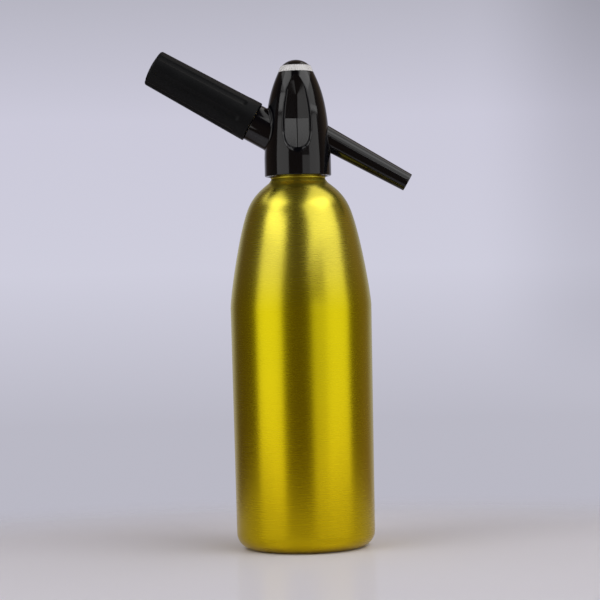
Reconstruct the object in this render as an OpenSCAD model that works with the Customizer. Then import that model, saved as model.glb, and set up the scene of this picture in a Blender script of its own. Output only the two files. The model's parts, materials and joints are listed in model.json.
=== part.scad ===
// Soda siphon: an aluminium bottle, a screw-on head with a thumb button, a
// pouring nozzle and a holder for one gas charger. All sizes are millimetres.
// +Z is up, the origin is the middle of the foot, the arms lie along X.

/* [Bottle] */
// Radius of the bottle where the shoulder starts
bottle_r = 45.1; // [44:0.1:47]
// Radius of the bottle just above its foot
bottle_low_r = 44.2; // [42:0.1:45]
// Height of the top of the shoulder
bottle_h = 232.7; // [216:0.1:246]
// Height of the curved shoulder
shoulder_h = 79.2; // [70:0.1:90]
// How far the side wall runs on into the shoulder
shoulder_swell = 8.3; // [6:0.1:14]
// Radius at which the shoulder turns in towards the neck
shoulder_turn_r = 32.35; // [31:0.05:34]
// Depth of that turn below the top of the shoulder
shoulder_turn_drop = 15.4; // [13:0.1:18]
// Lean of the shoulder's side, from upright
shoulder_lean = 24; // [20:1:28]
// How far the lean holds below the turn
shoulder_reach = 14.5; // [10:0.1:18]
// How far the lean holds above the turn
shoulder_bend = 8.8; // [6:0.1:10]
// Slope of the shoulder's top, from level
shoulder_slope = 38; // [32:1:42]
// How far that slope holds
shoulder_top_run = 6; // [4:0.1:7]
// Rounding between the side wall and the foot
foot_round = 10.2; // [8:0.1:12]
// Width of the flat ring that the bottle stands on
foot_flat_w = 4; // [3:0.5:6]
// Depth of the dish under the foot
foot_dish = 5; // [3:0.5:7]
// Thickness of the bottle's wall
bottle_wall = 1.6; // [1.2:0.1:2.2]
// Thickness of the bottle's bottom
bottom_wall = 2.2; // [1.6:0.1:3]

/* [Neck] */
// Height of the neck above the shoulder
neck_h = 15.4; // [14.8:0.1:17]
// Radius of the neck at the root of its thread
neck_r = 14.4; // [14:0.1:15]
// Radius of the bore through the neck
neck_bore_r = 12.4; // [12:0.1:13]
// Height of the screw thread's tooth
tooth_h = 1; // [0.6:0.1:1.2]
// Pitch of the neck thread
neck_pitch = 3; // [2:0.5:3]
// Radius of the bead under the head
bead_r = 17.6; // [17.4:0.1:18.4]
// Height of the bead under the head
bead_h = 1.3; // [0.8:0.1:1.6]
// Radius of the neck's foot just under the bead
neck_foot_r = 17.2; // [16.6:0.1:17.3]
// Lean of the neck's foot, from upright
neck_foot_lean = 28; // [20:1:34]
// Width of the neck's foot outside the thread's root
neck_flare = 4.9; // [4.4:0.1:5.4]

/* [Measuring tube] */
// Outer radius of the measuring tube
sleeve_r = 11.4; // [11:0.1:11.6]
// Wall of the measuring tube
sleeve_wall = 1; // [0.8:0.1:1.4]
// Length of the measuring tube below the rim
sleeve_len = 43; // [30:1:60]
// Thickness of the flange that lies on the rim
sleeve_flange_t = 1.4; // [1:0.1:2]
// Radius of the level holes in the measuring tube
level_hole_r = 2.4; // [1.5:0.1:3]
// Radius of the flange on the measuring tube
sleeve_flange_r = 14.9; // [14.5:0.1:15.2]
// Height of the level holes above the measuring tube's lower end
level_hole_rise = 7.2; // [5:0.1:12]
// Thickness of the rubber ring between the rim and the head
neck_gasket_t = 1.9; // [1.5:0.1:2.5]
// Radius of the hole in the rubber ring
neck_gasket_bore_r = 11; // [10.8:0.1:11.2]
// Width of the rubber ring
neck_gasket_w = 4; // [3:0.1:4]

/* [Head shell] */
// Radius of the collar at the foot of the head
collar_r = 21.35; // [21.2:0.05:23]
// Height of the straight part of the collar
collar_h = 11.8; // [11:0.1:13]
// Depth of the collar below the valve block
collar_depth = 14.2; // [13:0.1:14.6]
// Height of the head shell
head_h = 66.8; // [66.4:0.1:69]
// Radius of the head shell at its top edge
head_top_r = 11.5; // [11.4:0.1:12.2]
// Rise of the head's side before it starts to lean in
head_swell = 28; // [24:0.1:32]
// Lean of the head's side above the collar
head_lean = 1.4; // [1:0.1:2.5]
// Radius at which the head rounds over
head_turn_r = 18.6; // [18:0.1:19.6]
// Height of that rounding below the head's top edge
head_turn_drop = 15.4; // [14:0.1:17]
// Radius across the front and back scoops
scoop_cross_r = 22; // [20:0.5:28]
// Lean of the scoops towards the head's axis at their top
scoop_lean = 4.6; // [4:0.1:5]
// Distance from the head's axis to a scoop's deepest line, where its round foot starts
scoop_r = 15.9; // [15.5:0.1:16.5]
// Depth of that place below the head's top edge
scoop_drop = 38.3; // [36:0.1:40]
// Radius of the boss that carries the charger holder
boss_r = 12.2; // [12:0.1:12.8]
// Distance from the head's axis to the boss's end face
boss_end = 32.3; // [31.5:0.1:33]

/* [Neck insert] */
// Wall of the threaded ring inside the collar, at the root of its thread
insert_wall = 2.2; // [1.8:0.1:2.2]
// How far the threaded ring lies inside the collar's lower edge
insert_inset = 1; // [0.5:0.1:2]
// Gap between the threaded ring and the valve block above it
insert_gap = 0.4; // [0.2:0.1:0.6]

/* [Valve block] */
// Radius of the block's flange
block_flange_r = 15.5; // [15.2:0.1:16]
// Thickness of the block's flange
block_flange_t = 2.6; // [2:0.1:2.6]
// Radius of the block's lower body
block_r = 12.1; // [11.9:0.1:12.2]
// Height of the block's lower body with its flange
block_low_h = 28.6; // [27:0.1:30]
// Radius of the block's upper body
block_top_r = 10.95; // [10.8:0.05:11.1]
// Height of the block
block_h = 49.4; // [49:0.1:50.4]
// Radius of the cup in the block's top
cup_r = 9.9; // [9.7:0.1:10]
// Height of the cup's floor above the block's underside
cup_floor = 36.6; // [35:0.1:38]
// Depth of the socket for the tube nut
tube_socket_h = 7.6; // [7:0.1:8]
// Radius of the socket for the tube nut
tube_socket_r = 6.5; // [6.3:0.1:6.8]
// Radius of the chamber below the valve seat
chamber_r = 4.4; // [4.2:0.1:4.6]
// Radius of the hole through the valve seat
seat_hole_r = 2.6; // [2.2:0.1:2.8]
// Thickness of the valve seat
seat_t = 2.5; // [2:0.1:3]
// Radius of the chamber above the valve seat
outlet_chamber_r = 3.4; // [3:0.1:3.5]
// Height of the chamber above the valve seat
outlet_chamber_h = 9.5; // [9:0.1:10]
// Radius of the bore for the gland nut
gland_bore_r = 4.8; // [4.5:0.1:5.2]
// Radius of the hole that leads gas down to the bottle
gas_hole_r = 0.9; // [0.6:0.1:1]
// Distance from the head's axis to the gas hole
gas_hole_x = 9.3; // [9.1:0.1:9.4]
// Height of the gas hole
gas_hole_h = 9; // [8:0.1:10]

/* [Valve] */
// Radius of the valve stem
stem_r = 1.5; // [1.3:0.1:1.5]
// Radius of the flange at the stem's foot
stem_flange_r = 3; // [2.8:0.1:3.2]
// Thickness of the flange at the stem's foot
stem_flange_t = 1.2; // [0.8:0.1:1.4]
// Radius of the valve washer
washer_r = 3.6; // [3.3:0.1:3.9]
// Thickness of the valve washer
washer_t = 1.8; // [1.4:0.1:2]
// How far the button goes down, which the chamber below the seat has room for
button_travel = 3.5; // [3:0.1:4]
// How far the stem's top lies below the button's roof
stem_top_drop = 1.2; // [0.8:0.1:3]
// Ring radius of the stem's rubber ring
stem_ring_r = 2.75; // [2.7:0.05:2.8]
// Thickness of the stem's rubber ring
stem_ring_t = 2.3; // [2.2:0.05:2.3]
// Height of the gland nut's hexagon
gland_hex_h = 2.6; // [2:0.1:3]
// Distance across the corners of the gland nut, halved
gland_hex_r = 6.9; // [6.5:0.1:7.4]

/* [Button and ring] */
// Radius of the push button
button_r = 8.98; // [8.8:0.01:9]
// Radius of the dome on the button
dome_r = 12.3; // [11:0.1:14]
// Height of the button's skirt
button_skirt_h = 5.6; // [5:0.1:6]
// Wall of the button's skirt
button_wall = 1.4; // [1:0.1:1.6]
// Thickness of the button's roof at its edge
button_roof = 0.2; // [0.2:0.1:0.6]
// Radius of the boss inside the button
button_boss_r = 3.2; // [2.8:0.1:3.4]
// Height of the white ring above the head shell
ring_h = 4; // [3:0.1:5]
// Height of the straight foot of the white ring
ring_foot_h = 0.4; // [0.3:0.1:0.8]
// Outer radius of the white ring at its foot
ring_r = 11.2; // [10.9:0.1:11.4]
// Outer radius of the white ring near its top
ring_top_r = 9.8; // [9.7:0.1:10.2]
// Length of the white ring's threaded skirt
ring_skirt = 8.5; // [6:0.1:10]
// Number of grip grooves round the white ring
ring_grooves = 40; // [24:1:48]
// Radius of one grip groove
ring_groove_r = 0.3; // [0.2:0.05:0.35]

/* [Button spring] */
// Radius of the spring wire
wire_r = 0.45; // [0.3:0.05:0.5]
// Radius of the spring from its middle to the middle of the wire
spring_r = 5.2; // [5:0.1:5.4]
// Number of turns in the spring
spring_turns = 7; // [5:1:7]

/* [Dip tube] */
// Radius of the dip tube
dip_r = 3; // [2.8:0.1:3.2]
// Wall of the dip tube
dip_wall = 0.8; // [0.6:0.1:1]
// Gap between the dip tube's end and the bottle's bottom
dip_gap = 3.3; // [2.5:0.1:6]
// Radius of the flange on the dip tube
dip_flange_r = 6; // [5.8:0.1:6.2]
// Thickness of the flange on the dip tube
dip_flange_t = 1.2; // [1:0.1:1.4]
// Thickness of the rubber washer over the dip tube's flange
tube_gasket_t = 1.3; // [1:0.1:1.5]
// Radius of the hole in that washer
tube_gasket_bore_r = 3.6; // [3.4:0.1:3.8]
// Height of the tube nut's hexagon
tube_hex_h = 3.5; // [3:0.1:4]
// Distance across the corners of the tube nut, halved
tube_hex_r = 8; // [7.6:0.1:8.1]

/* [Nozzle] */
// Angle of the nozzle below the level
nozzle_dip = 30; // [29:0.5:31]
// Height above the block's underside where the nozzle's axis meets the head's axis
nozzle_cross = 20.8; // [20.6:0.1:21.6]
// Distance from the head's axis to the nozzle's tip
nozzle_end = 81; // [60:0.1:110]
// Radius of the nozzle where it leaves the head
nozzle_root_r = 7.6; // [7.4:0.1:7.8]
// Radius of the nozzle's tip
nozzle_tip_r = 5.9; // [5.2:0.1:6.6]
// Radius of the nozzle's spigot in the valve block
nozzle_spigot_r = 3.9; // [3.8:0.1:4]
// Distance from the head's axis to the floor of the nozzle's socket
nozzle_socket = 8.4; // [8.2:0.1:8.6]
// Radius of the water way through the nozzle
nozzle_bore_r = 1.9; // [1.5:0.1:2.1]
// Radius of the nozzle's mouth
nozzle_mouth_r = 3.6; // [3:0.1:4]
// Length of the flare inside the nozzle's mouth
nozzle_flare = 24; // [10:1:30]
// Distance from the end of a plugged-in part to its ring's groove
groove_lead = 0.7; // [0.5:0.1:0.9]
// Thickness of the small rubber rings on the nozzle and on the charger spigot
small_ring_t = 1.4; // [1.2:0.1:1.5]

/* [Charger spigot] */
// Angle of the charger holder above the level
holder_rise = 30; // [29:0.5:31]
// Height above the block's underside where the holder's axis meets the head's axis
holder_cross = 4.9; // [4.8:0.1:5.3]
// Radius of the spigot's tail in the valve block
tail_r = 4.35; // [4.2:0.05:4.4]
// Distance from the head's axis to the floor of the tail's socket
tail_socket = 9.2; // [9:0.1:9.5]
// Gap between the tail and the floor of its socket, where the gas passes
gas_gap = 0.7; // [0.5:0.1:0.9]
// Radius of the gas way through the spigot's tail
gas_bore_r = 1; // [0.8:0.1:1.2]
// Radius of the spigot's body inside the boss
spigot_body_r = 8; // [7.6:0.1:8.4]
// Distance from the head's axis to the inner end of the spigot's body
spigot_body_start = 19; // [18.9:0.1:19.6]
// Radius of the spigot's flange
spigot_flange_r = 11.2; // [11:0.1:11.3]
// Thickness of the spigot's flange
spigot_flange_t = 1.5; // [1.2:0.1:2]
// Radius of the spigot's thread at its root
spigot_r = 9.7; // [9.4:0.1:9.8]
// Height of the tooth of the spigot's thread
spigot_tooth_h = 0.9; // [0.6:0.1:1]
// Distance from the head's axis to the spigot's end
spigot_end = 44; // [43.6:0.1:44.6]
// Radius of the spigot's flared mouth
spigot_mouth_r = 7.4; // [7:0.1:8]
// Clearance round the charger's neck in the spigot
neck_play = 0.35; // [0.3:0.05:0.5]
// Pitch of the thread on the spigot
spigot_pitch = 2; // [1.5:0.1:2.5]
// Radius of the check valve's chamber
check_bore_r = 3.2; // [3:0.1:3.3]
// Length of the check valve's chamber
check_bore_len = 11; // [10:0.1:11]
// Thickness of the check valve's flange
check_flange_t = 1.8; // [1.4:0.1:2.2]
// Radius of the check valve's body
check_body_r = 2.2; // [2:0.1:2.6]
// Radius of the check valve's inner hollow
check_hollow_r = 0.9; // [0.7:0.1:1.2]
// Radius of the check valve's lips
check_lip_r = 0.7; // [0.5:0.1:1]
// Radius of the slit between the check valve's lips
check_slit_r = 0.25; // [0.1:0.05:0.4]
// Free room in front of the check valve's lips
check_room = 2.2; // [1.5:0.1:3]
// Length of the plug that carries the piercing pin
pin_plug_len = 4; // [3.6:0.1:4.2]
// Radius of the plug that carries the piercing pin
pin_plug_r = 3.5; // [3.4:0.1:3.6]
// Radius of the piercing pin
pin_r = 1.2; // [1:0.1:1.2]
// Radius of the hole through the piercing pin
pin_bore_r = 0.4; // [0.3:0.1:0.6]
// Length of the piercing pin's point
pin_tip_len = 1.4; // [1:0.1:2]
// How far the pin stands into the charger
pin_reach = 2.8; // [2:0.1:3]
// Thickness of the rubber washer under the charger
charger_gasket_t = 2; // [1.8:0.1:2.2]
// Depth of the seat for the charger's neck
neck_seat = 4; // [3.6:0.1:4.4]

/* [Gas charger] */
// Length of the gas charger
charger_len = 65.5; // [65:0.1:66]
// Radius of the gas charger's body
charger_r = 9.3; // [9.2:0.05:9.3]
// Radius of the gas charger's neck
charger_neck_r = 4.4; // [4.3:0.05:4.45]
// Length of the gas charger's neck
charger_neck_len = 6.5; // [6:0.1:7]
// Length of the gas charger's shoulder
charger_shoulder = 11; // [10:0.1:13]
// Length of the gas charger's rounded end
charger_cap = 8; // [7:0.1:9]
// Wall of the gas charger
charger_wall = 1.5; // [1.2:0.1:1.8]
// Radius of the hole that the pin has made
pierce_r = 1.6; // [1.5:0.05:1.8]

/* [Charger holder] */
// Radius of the holder at its rim
holder_r = 13.3; // [13.2:0.1:14]
// Radius of the holder at its far end
holder_end_r = 12; // [11.8:0.1:12.8]
// Gap between the boss and the holder's rim
holder_gap = 0.5; // [0.4:0.1:1]
// Length of the smooth mouth before the holder's thread
holder_mouth = 5.2; // [4.6:0.1:6]
// Wall over the holder's thread, at the rim
holder_thread_wall = 1.7; // [1.5:0.1:1.8]
// Clearance between the charger and the holder's bore
charger_play = 0.4; // [0.3:0.05:0.5]
// Thickness of the holder's end wall
holder_end_wall = 2.6; // [2.6:0.1:4]
// Height of the dome on the holder's end
holder_dome = 1.2; // [0.8:0.1:1.5]
// Rounding of the holder's end corner
holder_corner = 1.6; // [1:0.1:2]
// Rounding of the holder's rim
holder_rim_round = 0.5; // [0.3:0.1:0.8]
// Length of the smooth band at the holder's rim
holder_band = 8; // [6:0.5:12]
// Number of grip flutes round the holder
flutes = 7; // [5:1:8]
// Radius of one grip flute
flute_r = 4; // [3:0.1:5]
// Depth of one grip flute
flute_depth = 0.75; // [0.4:0.05:0.9]
// Turn of the first flute about the holder's axis
flute_phase = -53.4; // [-180:0.1:180]
// Thickness of the pad behind the charger
pad_t = 1.7; // [1.2:0.1:2.2]

/* [Clearances] */
// Radial gap of a button or stem that slides in its bore
slide_fit = 0.07; // [0.03:0.01:0.1]
// Radial gap between parts that are fixed to each other
fixed_fit = 0.05; // [0.03:0.01:0.1]
// Radial gap at a socket that a plain part is pushed into
push_fit = 0.1; // [0.05:0.01:0.15]
// Radial gap between the crests of two screw threads
thread_gap = 0.3; // [0.2:0.05:0.4]
// Gap at a rubber part's end
rubber_gap = 0.1; // [0.05:0.01:0.2]
// Radial room between the shell and the block inside it
shell_gap = 0.15; // [0.1:0.01:0.2]

/* [Hidden] */
$fn = 96;
// Steps along one curved outline
curve_steps = 18;
// Steps along one small curve
few_steps = 8;
// Steps round one small corner
corner_steps = 5;
// Share of a thread's pitch that its tooth takes at the root and at the crest
tooth_root = 0.7;
tooth_crest = 0.2;
// Smooth lengths at the start and at the end of a thread
thread_lead = 1;
thread_runout = 1.5;
// Size of the small broken edges
edge = 0.3;
// Rounding of the collar's lower edge
collar_round = 0.8;
// Sides of the spring wire, and steps in one of its turns
wire_sides = 6;
turn_steps = 8;
// How far two bodies of one part overlap where they join
eps = 0.01;
// How far a cutting body reaches past a face
past = 1;
// Long enough to cut out of the whole head
reach = 60;

// Heights up the neck
shoulder_z = bottle_h - shoulder_h;
rim_z = bottle_h + neck_h;
sleeve_top_z = rim_z + sleeve_flange_t;
block_z = sleeve_top_z + neck_gasket_t;
head_z = block_z - collar_depth;
head_top_z = head_z + head_h;
bead_top_z = head_z - thread_gap;
bead_z = bead_top_z - bead_h;
bottom_z = foot_dish + bottom_wall;
// Radii round the neck
neck_crest_r = neck_r + tooth_h;
insert_crest_r = neck_crest_r + thread_gap;
insert_root_r = insert_crest_r + tooth_h;
insert_r = insert_root_r + insert_wall;
neck_gasket_r = neck_gasket_bore_r + neck_gasket_w;
insert_z = head_z + insert_inset;
insert_top_z = block_z - insert_gap;
// Heights inside the valve block
block_flange_z = block_z + block_flange_t;
tube_seat_z = block_z + tube_socket_h;
seat_z = tube_seat_z + washer_t + stem_flange_t + button_travel;
outlet_floor_z = seat_z + seat_t;
gland_floor_z = outlet_floor_z + outlet_chamber_h;
cup_floor_z = block_z + cup_floor;
block_top_z = block_z + block_h;
block_step_z = block_z + block_low_h;
// Places of the arms
nozzle_z = block_z + nozzle_cross;
holder_z = block_z + holder_cross;
// The button and what it works
ring_top_z = head_top_z + ring_h;
ring_bore_r = button_r + slide_fit;
dome_base_z = ring_top_z + rubber_gap;
dome_centre_z = dome_base_z - sqrt(dome_r * dome_r - button_r * button_r);
button_foot_z = dome_base_z - button_skirt_h;
roof_z = dome_base_z + button_roof;
gland_top_z = cup_floor_z + gland_hex_h;
stem_foot_z = seat_z - washer_t - stem_flange_t;
stem_top_z = roof_z - stem_top_drop;
// The dip tube and its nut
dip_seat_z = tube_seat_z - tube_gasket_t;
dip_flange_z = dip_seat_z - dip_flange_t;
tube_hex_z = block_z - tube_hex_h;
// Distances along the holder's axis, from the head's axis
flange_start = boss_end - spigot_flange_t;
pin_start = flange_start;
check_start = pin_start - check_bore_len;
gasket_start = pin_start + pin_plug_len + rubber_gap;
charger_start = gasket_start + charger_gasket_t;
charger_end = charger_start + charger_len;
pad_start = charger_end + rubber_gap;
pad_end = pad_start + pad_t;
holder_start = boss_end + holder_gap;
holder_end = pad_end + holder_end_wall;
spigot_crest_r = spigot_r + spigot_tooth_h;
holder_crest_r = spigot_crest_r + thread_gap;
holder_root_r = holder_r - holder_thread_wall;
holder_bore_r = charger_r + charger_play;
holder_taper = atan2(holder_r - holder_end_r, holder_end - holder_start);
// Places along the tail of the spigot
tail_end = tail_socket + gas_gap;
tail_groove = tail_end + groove_lead;
// Places along the nozzle, whose thick root has to clear the block
nozzle_start = nozzle_socket + push_fit;
nozzle_groove = nozzle_start + groove_lead;
nozzle_shoulder = (block_r + shell_gap + sin(nozzle_dip) * nozzle_root_r) / cos(nozzle_dip) + push_fit;
// The bottle's foot
foot_flat_r = bottle_low_r - foot_round;
foot_dish_r = foot_flat_r - foot_flat_w;
foot_ball_r = (foot_dish_r * foot_dish_r + foot_dish * foot_dish) / (2 * foot_dish);

// A point of a curve with two guide points
function bend(a, b, c, d, t) =
    pow(1 - t, 3) * a + 3 * pow(1 - t, 2) * t * b + 3 * (1 - t) * t * t * c + t * t * t * d;
// All points of that curve, from a to d
function curve(a, b, c, d, steps = curve_steps) = [for (i = [0:steps]) bend(a, b, c, d, i / steps)];
// Points of a round corner about a centre
function corner(centre, r, from, to, steps = corner_steps) =
    [for (i = [0:steps]) let (a = from + (to - from) * i / steps) centre + r * [cos(a), sin(a)]];
// The direction square to a curve at point i, to its left
function left_of(p, i) =
    let (a = p[max(i - 1, 0)], b = p[min(i + 1, len(p) - 1)], d = b - a) [-d[1], d[0]] / norm(d);
// A curve moved to its left by w
function moved(p, w) = [for (i = [0:len(p) - 1]) p[i] + w * left_of(p, i)];
// A list in reverse order
function flipped(p) = [for (i = [len(p) - 1:-1:0]) p[i]];
// Teeth of a thread as rings between two heights: height h, root radius r, outward if h > 0
function teeth(r, h, low, high, pitch) =
    [for (i = [0:floor((high - low) / pitch) - 1])
        let (mid = low + pitch * (i + 1 / 2), foot = pitch * tooth_root / 2, tip = pitch * tooth_crest / 2)
            each [[r, mid - foot], [r + h, mid - tip], [r + h, mid + tip], [r, mid + foot]]];

// Turns a part about the Z axis from its outline
module turned(points) {
    rotate_extrude() polygon(points);
}

// A ring of rubber: middle radius, thickness, height of its middle
module rubber_ring(r, t, z) {
    translate([0, 0, z]) rotate_extrude() translate([r, 0]) circle(d = t);
}

// Puts a part drawn up the Z axis onto the holder's axis
module on_holder_axis() {
    translate([0, 0, holder_z]) rotate([0, holder_rise - 90, 0]) children();
}

// Puts a part drawn up the Z axis onto the nozzle's axis
module on_nozzle_axis() {
    translate([0, 0, nozzle_z]) rotate([0, 90 + nozzle_dip, 0]) children();
}

// The dish under the foot, raised by some height, from its middle outwards
function dish(rise) = [for (i = [0:few_steps])
    let (r = foot_dish_r * i / few_steps)
        [r, rise + foot_dish - foot_ball_r + sqrt(foot_ball_r * foot_ball_r - r * r)]];

// The spun bottle, hollow, with a threaded neck
shoulder_turn = [shoulder_turn_r, bottle_h - shoulder_turn_drop];
shoulder_top = [neck_r + neck_flare, bottle_h];
lean_way = [-sin(shoulder_lean), cos(shoulder_lean)];
slope_way = [-cos(shoulder_slope), sin(shoulder_slope)];
shoulder_side = curve([bottle_r, shoulder_z], [bottle_r, shoulder_z + shoulder_swell],
    shoulder_turn - shoulder_reach * lean_way, shoulder_turn);
shoulder_crown = curve(shoulder_turn, shoulder_turn + shoulder_bend * lean_way,
    shoulder_top - shoulder_top_run * slope_way, shoulder_top);
shoulder = concat(shoulder_side, [for (i = [1:curve_steps]) shoulder_crown[i]]);
module bottle() {
    foot = corner([foot_flat_r, foot_round], foot_round, -90, 0, few_steps);
    foot_rise = bead_z - bottle_h;
    neck_foot = curve(shoulder_top, shoulder_top + foot_rise / 3 * slope_way,
        [neck_foot_r, bead_z] + foot_rise / 2 * [sin(neck_foot_lean), -cos(neck_foot_lean)],
        [neck_foot_r, bead_z], few_steps);
    bead = corner([bead_r - bead_h / 2, bead_z + bead_h / 2], bead_h / 2, -90, 90, few_steps);
    outer = concat(dish(0), foot, shoulder, [for (i = [1:few_steps]) neck_foot[i]], bead,
        [[neck_r, bead_top_z]],
        teeth(neck_r, tooth_h, bead_top_z + thread_runout, rim_z - thread_lead, neck_pitch),
        [[neck_r, rim_z - edge], [neck_r - edge, rim_z]]);
    inner_shoulder = [for (p = flipped(moved(shoulder, bottle_wall))) if (p[0] > neck_bore_r + past) p];
    inner_foot = corner([foot_flat_r, foot_round], foot_round - bottle_wall, 0, -90, few_steps);
    inner = concat([[neck_bore_r, rim_z], [neck_bore_r, bottle_h + bottle_wall]], inner_shoulder,
        inner_foot, [[foot_flat_r, bottom_wall]], flipped(dish(bottom_wall)));
    color([0.78, 0.7, 0.1]) turned(concat(outer, inner));
}

// The plastic sleeve that hangs from the rim and sets the filling level
module measuring_tube() {
    tube_bore_r = sleeve_r - sleeve_wall;
    color([0.92, 0.92, 0.9]) difference() {
        turned([[tube_bore_r, rim_z - sleeve_len], [sleeve_r, rim_z - sleeve_len], [sleeve_r, rim_z],
            [sleeve_flange_r, rim_z], [sleeve_flange_r, sleeve_top_z], [tube_bore_r, sleeve_top_z]]);
        for (side = [0, 90])
            rotate([90, 0, side])
                translate([0, rim_z - sleeve_len + level_hole_rise, -reach / 2])
                    cylinder(r = level_hole_r, h = reach);
    }
}

// The rubber ring that seals the rim against the valve block
module neck_gasket() {
    color([0.12, 0.12, 0.12]) turned([[neck_gasket_bore_r, sleeve_top_z],
        [neck_gasket_r, sleeve_top_z], [neck_gasket_r, block_z], [neck_gasket_bore_r, block_z]]);
}

// The outside of the head, from the collar's foot to its top edge
head_side = curve([collar_r, head_z + collar_h], [collar_r - head_lean, head_z + collar_h + head_swell],
    [head_turn_r, head_top_z - head_turn_drop], [head_top_r, head_top_z - edge]);

// One scoop: a thick round bar with a ball end that leans against the head's back
module scoop() {
    translate([0, scoop_r + scoop_cross_r, head_top_z - scoop_drop])
        rotate([scoop_lean, 0, 0]) {
            sphere(r = scoop_cross_r);
            cylinder(r = scoop_cross_r, h = 2 * scoop_drop);
        }
}

// The glossy moulded shell of the head, with the boss for the charger holder
module head_shell() {
    cavity = [[0, head_z - past], [insert_r + fixed_fit, head_z - past],
        [insert_r + fixed_fit, insert_top_z], [block_flange_r + shell_gap, insert_top_z],
        [block_flange_r + shell_gap, block_flange_z], [block_r + shell_gap, block_flange_z],
        [block_r + shell_gap, block_step_z + shell_gap], [block_top_r + shell_gap, block_step_z + shell_gap],
        [block_top_r + shell_gap, block_top_z + shell_gap], [cup_r + push_fit, block_top_z + shell_gap],
        [cup_r + push_fit, head_top_z + past], [0, head_top_z + past]];
    collar_foot = corner([collar_r - collar_round, head_z + collar_round], collar_round, -90, 0);
    color([0.05, 0.05, 0.06]) difference() {
        union() {
            turned(concat([[0, head_z]], collar_foot, head_side,
                [[head_top_r - edge, head_top_z], [0, head_top_z]]));
            on_holder_axis() translate([0, 0, tail_socket])
                cylinder(r = boss_r, h = boss_end - tail_socket);
        }
        scoop();
        rotate([0, 0, 180]) scoop();
        turned(cavity);
        on_holder_axis() turned([[0, tail_socket], [tail_r + push_fit, tail_socket],
            [tail_r + push_fit, spigot_body_start - shell_gap],
            [spigot_body_r + push_fit, spigot_body_start - shell_gap],
            [spigot_body_r + push_fit, flange_start], [spigot_flange_r + push_fit, flange_start],
            [spigot_flange_r + push_fit, boss_end + past], [0, boss_end + past]]);
        on_nozzle_axis() turned([[0, nozzle_socket], [nozzle_spigot_r + push_fit, nozzle_socket],
            [nozzle_spigot_r + push_fit, nozzle_shoulder], [nozzle_root_r + push_fit, nozzle_shoulder],
            [nozzle_root_r + push_fit, reach], [0, reach]]);
    }
}

// The threaded metal ring that is fixed inside the collar
module neck_insert() {
    color([0.78, 0.62, 0.3]) turned(concat([[insert_r, insert_z], [insert_r, insert_top_z],
        [insert_crest_r, insert_top_z], [insert_crest_r, rim_z - thread_lead / 2],
        [insert_root_r, rim_z - thread_lead]],
        flipped(teeth(insert_root_r, -tooth_h, insert_z + thread_lead, rim_z - thread_lead, neck_pitch)),
        [[insert_root_r, insert_z]]));
}

// The metal block that holds the valve and joins the water and gas ways
module valve_block() {
    color([0.75, 0.6, 0.32]) difference() {
        turned([[0, block_z], [block_flange_r, block_z], [block_flange_r, block_flange_z],
            [block_r, block_flange_z], [block_r, block_step_z], [block_top_r, block_step_z],
            [block_top_r, block_top_z], [0, block_top_z]]);
        turned([[0, block_z - past], [tube_socket_r, block_z - past], [tube_socket_r, tube_seat_z],
            [chamber_r, tube_seat_z], [chamber_r, seat_z], [seat_hole_r, seat_z],
            [seat_hole_r, outlet_floor_z], [outlet_chamber_r, outlet_floor_z],
            [outlet_chamber_r, gland_floor_z], [stem_ring_r + stem_ring_t / 2 + fixed_fit, gland_floor_z],
            [stem_ring_r + stem_ring_t / 2 + fixed_fit, gland_floor_z + stem_ring_t],
            [gland_bore_r, gland_floor_z + stem_ring_t], [gland_bore_r, cup_floor_z],
            [cup_r, cup_floor_z], [cup_r, block_top_z + past], [0, block_top_z + past]]);
        on_holder_axis() translate([0, 0, tail_socket]) cylinder(r = tail_r + push_fit, h = reach);
        on_nozzle_axis() translate([0, 0, nozzle_socket])
            cylinder(r = nozzle_spigot_r + push_fit, h = reach);
        on_nozzle_axis() cylinder(r = nozzle_bore_r, h = reach);
        translate([-gas_hole_x, 0, block_z - past]) cylinder(r = gas_hole_r, h = gas_hole_h + past);
    }
}

// The white ring that screws into the block and clamps the shell, and guides the button
module ring_nut() {
    thread_r = cup_r - push_fit;
    slant_h = ring_h - ring_foot_h - edge;
    color([0.93, 0.93, 0.95]) difference() {
        turned([[ring_bore_r, head_top_z - ring_skirt], [thread_r, head_top_z - ring_skirt],
            [thread_r, head_top_z], [ring_r, head_top_z], [ring_r, head_top_z + ring_foot_h],
            [ring_top_r, ring_top_z - edge], [ring_top_r - edge, ring_top_z],
            [ring_bore_r, ring_top_z]]);
        for (i = [0:ring_grooves - 1])
            rotate([0, 0, i * 360 / ring_grooves])
                translate([ring_r, 0, head_top_z + ring_foot_h])
                    rotate([0, atan2(ring_top_r - ring_r, slant_h), 0])
                        translate([0, 0, -ring_h]) cylinder(r = ring_groove_r, h = 3 * ring_h);
    }
}

// The domed button, hollow, with a boss that takes the stem
module push_button() {
    color([0.05, 0.05, 0.06]) difference() {
        union() {
            difference() {
                union() {
                    translate([0, 0, button_foot_z]) cylinder(r = button_r, h = button_skirt_h);
                    intersection() {
                        translate([0, 0, dome_centre_z]) sphere(r = dome_r);
                        translate([0, 0, dome_base_z - eps]) cylinder(r = button_r, h = dome_r);
                    }
                }
                translate([0, 0, button_foot_z - past])
                    cylinder(r = button_r - button_wall, h = roof_z - button_foot_z + past);
            }
            translate([0, 0, button_foot_z])
                cylinder(r = button_boss_r, h = roof_z - button_foot_z + eps);
        }
        translate([0, 0, button_foot_z - past])
            cylinder(r = stem_r + fixed_fit, h = stem_top_z - button_foot_z + past + rubber_gap);
    }
}

// The points round a wire, where it passes the angle a at height z
function wire_ring(r, a, z, w) = [for (k = [0:wire_sides - 1])
    let (b = 360 * k / wire_sides, q = r + w * cos(b)) [q * cos(a), q * sin(a), z + w * sin(b)]];

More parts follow.
